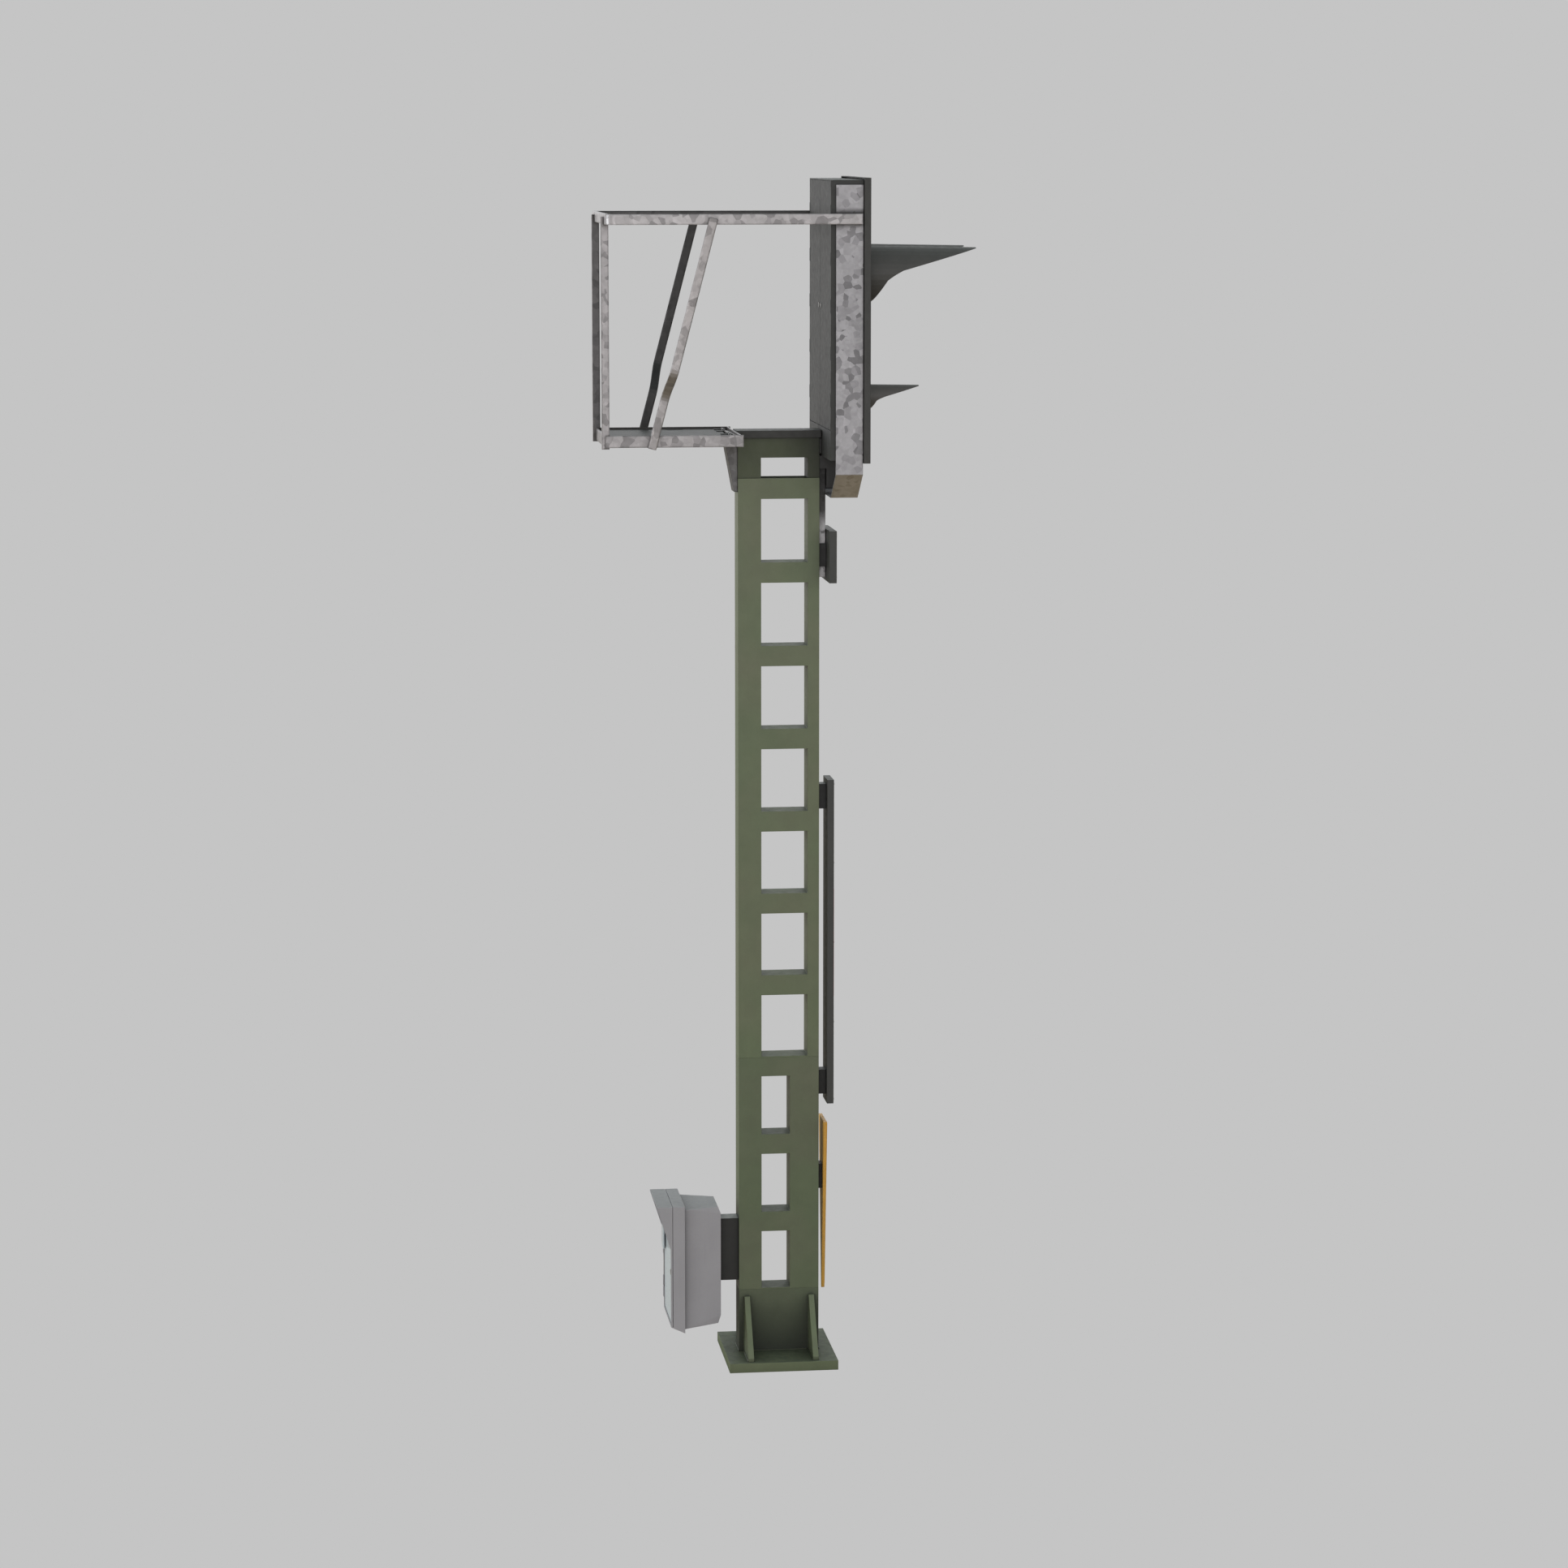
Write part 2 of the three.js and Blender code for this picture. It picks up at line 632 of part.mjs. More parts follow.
function addLamps() {
  for (const lamp of lamps()) {
    add(`hood_${lamp.name}`, hood(lamp), CHARCOAL, 0.65, 0.1);
    add(`lamp_unit_${lamp.name}`, lampUnit(lamp), CHARCOAL, 0.6, 0.2);
    add(`lens_${lamp.name}`, lens(lamp), lamp.color, 0.1, 0);
  }
}

// ---------------------------------------------------------------- work basket

// The floor tray: an upright sheet rim with a ledge for the floor and two hinge lugs in front.
function platformFrame() {
  const x = TRAY_X / 2;
  const z0 = TRAY_TOP - TRAY_H;
  const ledgeTop = FLOOR_TOP - FLOOR_T - GAP;
  const ring = cut(
    block(-x, x, TRAY_FRONT, TRAY_REAR, z0, TRAY_TOP),
    block(-x + TRAY_T, x - TRAY_T, TRAY_FRONT_SHEET + TRAY_T, TRAY_REAR - TRAY_T, z0 - 1, TRAY_TOP + 1),
    block(-x + TRAY_T, x - TRAY_T, TRAY_FRONT - 1, TRAY_FRONT_SHEET, z0 - 1, TRAY_TOP + 1),
  );
  const ledge = cut(
    block(-x + 3, x - 3, TRAY_FRONT_SHEET + 3, TRAY_REAR - 3, ledgeTop - 5, ledgeTop),
    block(-x + 45, x - 45, TRAY_FRONT_SHEET + 52, TRAY_REAR - 62, z0, TRAY_TOP),
  );
  const lugs = [-150, 150].map((c) => cut(
    join(
      block(c - 12, c + 12, FLOOR_HINGE_Y - 9, FLOOR_HINGE_Y + 9, ledgeTop - 2, FLOOR_HINGE_Z),
      drumX(9, c - 12, c + 12, FLOOR_HINGE_Y, FLOOR_HINGE_Z),
    ),
    drumX(5.5, c - 13, c + 13, FLOOR_HINGE_Y, FLOOR_HINGE_Z),
  ));
  const corners = [-1, 1].map((side) => {
    const inner = side * (POST_X - POST_W / 2 - 1);
    const outer = side * (x + 1);
    return block(
      Math.min(inner, outer), Math.max(inner, outer), TRAY_REAR - 20, TRAY_REAR + 1, z0 - 1, TRAY_TOP + 1,
    );
  });
  const sides = [-1, 1].map((side) => {
    const a = side * (x - TRAY_T);
    const b = side * x;
    return block(Math.min(a, b), Math.max(a, b), TRAY_REAR - 40, TRAY_REAR, z0, TRAY_TOP);
  });
  return join(cut(join(ring, ledge), ...corners), ...lugs, ...sides);
}

// The floor lifts as one flap about the pin at the mast end. Drawn at the hinge axis.
function platformFloor() {
  const x = TRAY_X / 2 - TRAY_T - 3;
  const rear = TRAY_REAR - 24;
  const z1 = FLOOR_TOP - FLOOR_HINGE_Z;
  const sheet = block(-x, x, 14, rear - FLOOR_HINGE_Y, z1 - FLOOR_T, z1);
  const slotX = 238;
  const slot = join(
    block(slotX - 14, slotX + 14, 195, 255, -30, 30),
    drumZ(14, -30, 30, slotX, 195),
    drumZ(14, -30, 30, slotX, 255),
  );
  const straps = [-205, -95, 95, 205].map((c) => cut(
    join(
      block(c - 16, c + 16, 0, 40, z1 - FLOOR_T, z1 + 4),
      drumX(7.5, c - 16, c + 16, 0, 0),
    ),
    drumX(5.5, c - 17, c + 17, 0, 0),
  ));
  return join(cut(sheet, slot), ...straps);
}

// The wedge-shaped bracket that carries the tray on the rear of the mast.
function platformBracket() {
  const y0 = MAST_Y / 2 + GAP;
  const top = TRAY_TOP - TRAY_H - GAP;
  const wall = 8;
  const wedge = outline([[y0, WEDGE_BOTTOM], [y0 + 16, WEDGE_BOTTOM], [y0 + 58, top], [y0, top]]);
  const pocket = outline([
    [y0 + wall, WEDGE_BOTTOM - 14], [y0 + wall + 1, WEDGE_BOTTOM - 14],
    [y0 + 50, top - wall], [y0 + wall, top - wall],
  ]);
  return cut(plateYZ(wedge, -WEDGE_X, WEDGE_X), plateYZ(pocket, -WEDGE_X + wall, WEDGE_X - wall));
}

// The rail hoop: a flat bar on edge around both sides and the rear, with rounded corners.
function topRail() {
  const contour = (inset, front) => {
    const x = RAIL_X / 2 - inset;
    const y = RAIL_REAR - inset;
    const r = RAIL_CORNER - inset;
    const shape = new THREE.Shape();
    shape.moveTo(-x, front);
    shape.lineTo(x, front);
    shape.lineTo(x, y - r);
    shape.absarc(x - r, y - r, r, 0, Math.PI / 2, false);
    shape.absarc(-x + r, y - r, r, Math.PI / 2, Math.PI, false);
    shape.closePath();
    return shape;
  };
  const height = RAIL_TOP - RAIL_BOTTOM;
  const options = { depth: height, bevelEnabled: false, curveSegments: 10 };
  const deeper = { ...options, depth: height + 2 };
  const outer = new THREE.ExtrudeGeometry(contour(0, RAIL_FRONT), options);
  const inner = new THREE.ExtrudeGeometry(contour(RAIL_T, RAIL_FRONT - 1), deeper).translate(0, 0, -1);
  return cut(outer, inner).translate(0, 0, RAIL_BOTTOM);
}

// A rear corner post: a square tube whose ends are halved to lap behind the tray and the rail.
function post(side) {
  const x = side * POST_X;
  const bottom = TRAY_TOP - TRAY_H - 7;
  const top = RAIL_TOP - 14;
  const lap = RAIL_REAR + GAP;
  const back = block(x - POST_W / 2, x + POST_W / 2, lap, POST_BACK, bottom, top);
  const front = block(x - POST_W / 2, x + POST_W / 2, POST_BACK - POST_W, lap + 1, bottom, RAIL_BOTTOM - GAP);
  return join(back, front);
}

// A brace: a rounded flat bar from the outside of the rail down to the outside of the tray,
// with a double bend where it comes in from the wider rail to the narrower tray.
function brace(side) {
  const top = new THREE.Vector3(0, BRACE_TOP.y, BRACE_TOP.z);
  const foot = new THREE.Vector3(0, BRACE_FOOT.y, BRACE_FOOT.z);
  const length = top.distanceTo(foot);
  const edge = 4;
  const thick = BRACE_T / 2 - edge;
  const railX = RAIL_X / 2 + GAP + BRACE_T / 2;
  const trayX = TRAY_X / 2 + GAP + BRACE_T / 2;
  const bend = { start: 0.65 * length, pull: 0.05 * length, end: 0.79 * length };
  const shape = new THREE.Shape();
  shape.moveTo(side * railX - thick, edge);
  shape.lineTo(side * railX + thick, edge);
  joggle(shape, side * railX + thick, side * trayX + thick, bend, 1);
  shape.lineTo(side * trayX + thick, length - edge);
  shape.lineTo(side * trayX - thick, length - edge);
  joggle(shape, side * trayX - thick, side * railX - thick, bend, -1);
  shape.closePath();
  const bar = new THREE.ExtrudeGeometry(shape, {
    depth: BRACE_W - 2 * edge, bevelThickness: edge, bevelSize: edge, bevelSegments: 2, curveSegments: 10,
  }).translate(0, 0, edge - BRACE_W / 2);
  const down = foot.clone().sub(top).normalize();
  const x = new THREE.Vector3(1, 0, 0);
  bar.applyMatrix4(new THREE.Matrix4().makeBasis(x, down, x.clone().cross(down)));
  return bar.translate(top.x, top.y, top.z);
}

// The double bend, drawn down the bar (direction 1) or back up it (direction -1).
function joggle(shape, fromX, toX, bend, direction) {
  const first = direction > 0 ? bend.start : bend.end;
  const last = direction > 0 ? bend.end : bend.start;
  shape.lineTo(fromX, first);
  shape.bezierCurveTo(
    fromX, first + direction * bend.pull, toX, last - direction * bend.pull, toX, last,
  );
}

function addBasket() {
  add('platform_frame', platformFrame(), GALVANISED, 0.45, 0.7);
  const flap = pivot(0, FLOOR_HINGE_Y, FLOOR_HINGE_Z);
  add('platform_floor', platformFloor(), HOUSING_GREY, 0.55, 0.4, flap);
  add('floor_hinge_pin', drumX(5, -232, 232, FLOOR_HINGE_Y, FLOOR_HINGE_Z), STEEL, 0.35, 0.9);
  add('platform_bracket', platformBracket(), STEEL, 0.5, 0.5);
  add('top_rail', topRail(), GALVANISED, 0.45, 0.7);
  for (const [side, sx] of [['left', -1], ['right', 1]]) {
    add(`corner_post_${side}`, post(sx), GALVANISED, 0.45, 0.7);
    add(`brace_${side}`, brace(sx), GALVANISED, 0.45, 0.7);
  }
}

// ---------------------------------------------------------------- signs on the mast front

function addSigns() {
  const mastFront = -MAST_Y / 2 - GAP;
  const plate = block(
    -NUMBER_X, NUMBER_X, SIGN_FACE, CLAMP_FRONT - GAP, NUMBER_Z - NUMBER_H / 2, NUMBER_Z + NUMBER_H / 2,
  );
  add('number_plate', plate, SIGN_GREY, 0.5, 0.3);
  add('number_plate_clamp', numberPlateClamp(mastFront), BRACKET_BLACK, 0.5, 0.3);
  const strip = block(-SIGN_X, SIGN_X, SIGN_FACE, SIGN_BACK, SIGN_BOTTOM, SIGN_TOP);
  add('mast_sign', strip, SIGN_GREY, 0.5, 0.3);
  for (const [name, z] of Object.entries(SIGN_BRACKETS)) {
    const bracket = block(
      -SIGN_BRACKET_X, SIGN_BRACKET_X, SIGN_BACK + GAP, mastFront,
      z - SIGN_BRACKET_H / 2, z + SIGN_BRACKET_H / 2,
    );
    add(`sign_bracket_${name}`, bracket, BRACKET_BLACK, 0.5, 0.3);
  }
  const corners = [
    [-TRIANGLE_TIP, TRIANGLE_BOTTOM], [TRIANGLE_TIP, TRIANGLE_BOTTOM],
    [TRIANGLE_X, TRIANGLE_TOP], [-TRIANGLE_X, TRIANGLE_TOP],
  ];
  add('triangle_plate', plateXZ(corners, TRIANGLE_FRONT, TRIANGLE_BACK), ORANGE, 0.45, 0.1);
  const holder = block(
    -SIGN_BRACKET_X, SIGN_BRACKET_X, TRIANGLE_BACK + GAP, mastFront,
    TRIANGLE_BRACKET_BOTTOM, TRIANGLE_BRACKET_TOP,
  );
  add('triangle_bracket', holder, BRACKET_BLACK, 0.5, 0.3);
}

// A shallow saddle that grips the strap and carries the number plate.
function numberPlateClamp(mastFront) {
  const half = 38;
  const reach = 54;
  const inner = 28.5;
  return cut(
    block(-half, half, CLAMP_FRONT, mastFront, NUMBER_Z - reach, NUMBER_Z + reach),
    block(-inner, inner, CLAMP_FRONT + 2, mastFront + 1, NUMBER_Z - reach - 6, NUMBER_Z + reach + 6),
  );
}

// ---------------------------------------------------------------- telephone box

// The moulded rear shell: drafted sides, a bevelled back, hollow and open to the flange.
function boxShell() {
  const hull = (inset, grow) => {
    const rings = [
      { y: BOX_FLANGE + grow, x: 155, z0: 187, z1: 772 },
      { y: 297 + inset, x: 105, z0: 199, z1: 770 },
      { y: BOX_BACK + inset, x: 105, z0: 238, z1: 738 },
    ];
    const points = rings.flatMap((q) => [-1, 1].flatMap((side) => [
      new THREE.Vector3(side * (q.x - inset), q.y, q.z0 + inset),
      new THREE.Vector3(side * (q.x - inset), q.y, q.z1 - inset),
    ]));
    return new ConvexGeometry(points);
  };
  return cut(hull(0, -GAP), hull(5, 2));
}

function boxFlange() {
  const x = BOX_HALF_X;
  const low = BOX_OPENING_BOTTOM;
  const side = outline([[BOX_FLANGE, 175], [BOX_SEAM, 201], [BOX_SEAM, BOX_TOP], [BOX_FLANGE, BOX_TOP]]);
  const opening = block(-148, 148, BOX_FLANGE - 1, BOX_SEAM + 1, low, 758);
  const pocket = block(
    -x + BOX_WALL, x - BOX_WALL, BOX_FLANGE + BOX_WALL, BOX_SEAM - 4, low, BOX_TOP - BOX_WALL,
  );
  const mouth = block(-162, 162, BOX_SEAM - 5, BOX_SEAM + 1, low, 770);
  const barrels = BOX_KNUCKLES_FIXED.map((z) => boxKnuckle(z, 26, x - 4, BOX_SEAM - 14));
  return join(cut(plateYZ(side, -x, x), opening, pocket, mouth), ...barrels);
}

// A knuckle on the hinge side of the box, reaching back to rootX, rootY. Drawn in world axes.
function boxKnuckle(z, half, rootX, rootY) {
  const arm = block(rootX, BOX_HINGE_X + 2, rootY, BOX_HINGE_Y, z - half, z + half);
  const barrel = drumZ(6, z - half, z + half, BOX_HINGE_X, BOX_HINGE_Y);
  return cut(join(arm, barrel), drumZ(3.5, z - half - 1, z + half + 1, BOX_HINGE_X, BOX_HINGE_Y));
}

// The door with its raised rim and the rain hood moulded on. Drawn in world axes.
function boxDoor() {
  const x = BOX_HALF_X;
  const back = BOX_SEAM + 2;
  const side = outline([
    [back, BOX_BOTTOM], [BOX_FACE, BOX_BOTTOM + 4], [BOX_FACE, BOX_TOP], [back, BOX_TOP],
  ]);
  const recess = block(-x + 12, x - 12, back + 3, BOX_FACE + 1, 218, 745);
  const slab = join(cut(plateYZ(side, -x, x), recess), rainHood());
  const relief = BOX_KNUCKLES_FIXED.map((z) => block(x - 14, x + 1, back - 1, BOX_FACE + 9, z - 28, z + 28));
  const lockBore = drumY(9.4, back - 1, BOX_FACE + 1, BOX_LOCK_X, BOX_LOCK_Z);
  const barrels = BOX_KNUCKLES_DOOR.map((z) => boxKnuckle(z, 24, x - 6, BOX_FACE - 5));
  return join(cut(slab, ...relief, lockBore), ...barrels);
}

// The rain hood: a roof with two tapering cheeks.
function rainHood() {
  const cheekBottom = 588;
  const roofBottom = BOX_TOP - 6;
  const tip = BOX_HOOD_REACH;
  const side = outline([
    [BOX_FACE - 1, cheekBottom], [BOX_FACE + 1, cheekBottom], [tip, roofBottom],
    [tip, BOX_TOP], [BOX_FACE - 1, BOX_TOP],
  ]);
  const under = outline([
    [BOX_FACE - 2, cheekBottom - 28], [tip + 40, cheekBottom - 28], [tip + 40, BOX_TOP - 14],
    [tip - 5, BOX_TOP - 14], [tip - 5, roofBottom], [BOX_FACE - 2, roofBottom],
  ]);
  const inner = BOX_HALF_X - BOX_WALL;
  return cut(plateYZ(side, -BOX_HALF_X, BOX_HALF_X), plateYZ(under, -inner, inner));
}

// The telephone: a flat case with a key plate, a fork for the ear piece and a tray below it.
function telephoneSet() {
  const face = PHONE_FRONT - 1;
  const lip = 392;
  const body = block(
    -PHONE_X, PHONE_X, BOX_BACK + BOX_WALL + GAP, PHONE_FRONT, PHONE_BOTTOM, PHONE_TOP,
  );
  const keys = block(4, 80, face, PHONE_FRONT + 4, 420, 640);
  const prongs = [-82, -40].map((x) => join(
    block(x, x + 12, face, lip, FORK_Z - 16, FORK_Z),
    block(x, x + 12, lip - 4, lip + 1, FORK_Z - 8, FORK_Z + 12),
  ));
  const tray = join(
    block(-82, -28, face, lip, CRADLE_Z - 13, CRADLE_Z),
    block(-82, -28, lip - 4, lip + 1, CRADLE_Z - 11, CRADLE_Z + 9),
  );
  return join(body, keys, ...prongs, tray);
}

// The handset stands in the fork and the tray and lifts straight up.
function handset() {
  const [x0, x1] = HANDSET_X;
  const ear = block(x0, x1, 357, 386, FORK_Z + GAP, 682);
  const mouth = block(x0, x1, 357, 386, CRADLE_Z + GAP, 446);
  const grip = block(x0 + 16, x1 - 16, 380, 402, 440, 660);
  return join(ear, mouth, grip);
}

function addTelephoneBox() {
  const bracket = block(
    -BOX_BRACKET_X, BOX_BRACKET_X, MAST_Y / 2 + GAP, BOX_BACK - GAP, BOX_BRACKET_BOTTOM, BOX_BRACKET_TOP,
  );
  add('box_bracket', bracket, BRACKET_BLACK, 0.5, 0.3);
  add('box_shell', boxShell(), BOX_GREY, 0.55, 0);
  add('box_flange', boxFlange(), BOX_GREY, 0.55, 0);
  const doorGroup = pivot(BOX_HINGE_X, BOX_HINGE_Y, 0);
  add('box_door', boxDoor().translate(-BOX_HINGE_X, -BOX_HINGE_Y, 0), BOX_GREY, 0.55, 0, doorGroup);
  const face = cut(
    block(-BOX_HALF_X + 13, BOX_HALF_X - 15, BOX_SEAM + 5.3, BOX_FACE - 3, 219, 744),
    drumY(14, BOX_SEAM, BOX_FACE, BOX_LOCK_X, BOX_LOCK_Z),
  );
  add('box_door_panel', face.translate(-BOX_HINGE_X, -BOX_HINGE_Y, 0), BOX_FACE_BLUE, 0.25, 0, doorGroup);
  add('box_hinge_pin', drumZ(3.2, 255, 745, BOX_HINGE_X, BOX_HINGE_Y), STEEL, 0.35, 0.9);
  const lock = add('box_lock', camLock(12, 22), STEEL, 0.35, 0.9, doorGroup);
  lock.position.set(BOX_LOCK_X - BOX_HINGE_X, BOX_FACE - 2.5 - BOX_HINGE_Y, BOX_LOCK_Z);
  add('telephone_set', telephoneSet(), BRACKET_BLACK, 0.5, 0);
  add('handset', handset(), BRACKET_BLACK, 0.5, 0);
}

addBaseAndMast();
addHeadSupport();
addHead();
addLamps();
addBasket();
addSigns();
addTelephoneBox();

export default group;
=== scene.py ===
import math
import random

import bmesh
import bpy
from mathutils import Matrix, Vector


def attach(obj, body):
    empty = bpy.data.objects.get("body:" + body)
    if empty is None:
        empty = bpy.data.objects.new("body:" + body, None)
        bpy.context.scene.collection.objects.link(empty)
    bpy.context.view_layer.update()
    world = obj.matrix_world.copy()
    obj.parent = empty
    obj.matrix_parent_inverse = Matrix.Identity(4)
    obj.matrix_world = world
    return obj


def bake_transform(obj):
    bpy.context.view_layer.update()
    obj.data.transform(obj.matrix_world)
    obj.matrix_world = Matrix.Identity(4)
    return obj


# Looks for the colour-light signal: procedural materials on the CAD nodes, and the small parts
# that the CAD leaves out (lens seals, flanges, screws, wiring, sign faces, weld beads, lock marks,
# and the telephone's keys, caps and cord).
# Metres, +Z up, the lamps look along -Y and the work basket is on the +Y side.

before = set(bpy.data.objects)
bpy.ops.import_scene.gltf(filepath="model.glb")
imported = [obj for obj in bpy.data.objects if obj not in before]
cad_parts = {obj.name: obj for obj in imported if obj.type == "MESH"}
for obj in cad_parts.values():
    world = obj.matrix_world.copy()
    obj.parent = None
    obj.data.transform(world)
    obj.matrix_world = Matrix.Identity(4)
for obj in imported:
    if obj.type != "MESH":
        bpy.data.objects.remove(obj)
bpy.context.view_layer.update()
random.seed(7)
scene = bpy.context.scene
scene.view_settings.view_transform = "Standard"
scene.view_settings.look = "None"

# ------------------------------------------------------------------ places and sizes

FORWARD = (0, -1, 0)
BACKWARD = (0, 1, 0)
# How far an added part stands off the face that it lies on.
TOUCH = 0.0003

# Each lamp: its centre across and up, and the outer radius of its hood. The large ones have
# more screws.
LAMPS = {
    "left": (-0.175, 5.199, 0.129),
    "right": (0.175, 5.199, 0.129),
    "small": (0.0, 4.622, 0.057),
}
LARGE_LAMP = 0.1
LARGE_LAMP_SCREWS = 8
SMALL_LAMP_SCREWS = 4
# The panel's face, its screws, and the hood, seal and flange around each lens.
PANEL_Y = -0.386
PANEL_SCREW_X = 0.382
PANEL_SCREW_Z = (4.365, 5.613)
PANEL_SCREW_ROWS = (4.355, 5.623)
PANEL_SCREW_R = 0.0055
HOOD_SCREW_R = 0.0034
HOOD_WALL = 0.0035
LENS_EDGE = 0.0165
FLANGE = 0.0015
FLANGE_W = 0.0116

# The terminal strip, and the wires that run to it from the backs of the lamp units.
TERMINALS = 11
TERMINAL_LEFT = -0.190
TERMINAL_Y = -0.2237
TERMINAL_PITCH = 0.038
TERMINAL_ROWS = (4.563, 4.597)
TERMINAL_TOP = 4.6105
LAMP_BACK_Y = -0.2570
SMALL_LAMP_BACK_Y = -0.2890
WIRE_R = 0.0032
WIRE_APART = 0.014
WIRE_END_X = 0.152
WIRE_END_Y = -0.238

# The front of both signs, the sheeting on it, and the corners of each field as across and up.
SIGN_Y = -0.2622
SHEETING = 0.0012
NUMBER_PLATE = ((-0.156, 3.764), (0.156, 4.000))
BORDER = ((-0.150, 3.770), (0.150, 3.994))
BORDER_W = 0.007
BAND_EDGES = (1.260, 1.777, 2.295, 2.812)
BAND_LOOKS = ("sheet_white", "sheet_red", "sheet_white")
BAND_X = 0.0735
TRIANGLE = ((-0.0008, 0.350), (0.0008, 0.350), (0.0915, 1.162), (-0.0915, 1.162))
TRIANGLE_Y = (-0.2304, -0.2292)
# Rivets on each side of a sign: distance from its middle, heights, how far they stand off
# the sign's front, and their profile.
MAST_SIGN_RIVETS = (0.064, (1.275, 1.65, 2.036, 2.42, 2.797), -0.0013,
                    ((0.0050, 0.0), (0.0046, 0.0014), (0.0028, 0.0022)))
NUMBER_RIVETS = (0.135, (3.786, 3.978), -0.0020,
                 ((0.0055, 0.0), (0.0050, 0.0015), (0.0030, 0.0024)))

# Where the welds run: the gussets' planes and reach, and the faces of the foot.
BASE_TOP = 0.0453
MAST_X = 0.0677
GUSSET_Y = 0.155
GUSSET_HALF = 0.013
GUSSET_TOP = 0.310
GUSSET_FOOT = 0.070
GUSSET_REACH = 0.258
GUSSET_BEAD = 0.0045
FOOT_X = 0.0676
FOOT_Y = 0.1922
FOOT_BEAD = 0.005
FOOT_SIDE_BEAD = 0.138
FOOT_FACE_BEAD = 0.0675

# The telephone's keys, the handset's caps, the cover of the door's hinges, and the cord.
PHONE_FACE = 0.3541
KEY_ROWS = 4
KEY_COLUMNS = 3
KEY_CORNER = (0.016, 0.470)
KEY_PITCH = (0.021, 0.040)
KEY_SIZE = (0.015, 0.0039, 0.022)
HANDSET_FACE = 0.3865
HANDSET_CAPS_Z = (0.655, 0.422)
HINGE_COVER = ((0.112, 0.5313, 0.514), (0.1835, 0.5413, 0.640))
PLUG = Vector((-0.055, 0.3715, 0.4325))
SOCKET = Vector((0.040, 0.3660, 0.3980))
CORD_BEND_Z = 0.345

# Each lock: its body and the centre of its face.
LOCKS = {
    "left": ("leaf_lock_left_body", -0.034, -0.2005, 5.050),
    "right": ("leaf_lock_right_body", 0.034, -0.2005, 5.050),
    "box": ("box_lock_body", -0.150, 0.5310, 0.470),
}

# What the camera sees behind the signal.
BACKGROUND = (0.558, 0.558, 0.558)
# What lights the signal, from straight below at 0 to straight above at 1.
SKY = (
    (0.0, (0.24, 0.20, 0.14)),
    (0.44, (0.36, 0.32, 0.26)),
    (0.50, (0.95, 0.93, 0.94)),
    (0.56, (1.25, 1.24, 1.27)),
    (0.66, (0.92, 0.94, 0.95)),
    (0.80, (0.55, 0.59, 0.58)),
    (1.0, (0.40, 0.44, 0.44)),
)
# Soft boxes: name, place, width, watts and colour.
SOFT_BOXES = (
    ("key_box", (-13.0, 2.8, 3.3), 7.0, 250.0, (1.0, 0.985, 0.99)),
    ("rear_box", (3.0, 12.0, 4.0), 6.0, 480.0, (0.93, 0.98, 1.0)),
    ("front_box", (3.0, -12.0, 5.0), 6.0, 300.0, (1.0, 1.0, 1.0)),
)
LIGHTS_AIM = Vector((0, 0, 3.0))
FLOOR_HALF = 40.0
FLOOR_Z = -0.0008
# The camera's turn is its azimuth from the lamps' side and its elevation, in degrees.
CAMERA_PLACE = (-20.2559, 2.4299, 5.8777)
CAMERA_TURN = (263.067, 8.602)
CAMERA_LENS = 99.97
CAMERA_SENSOR = 36.0

# ------------------------------------------------------------------ shader helpers


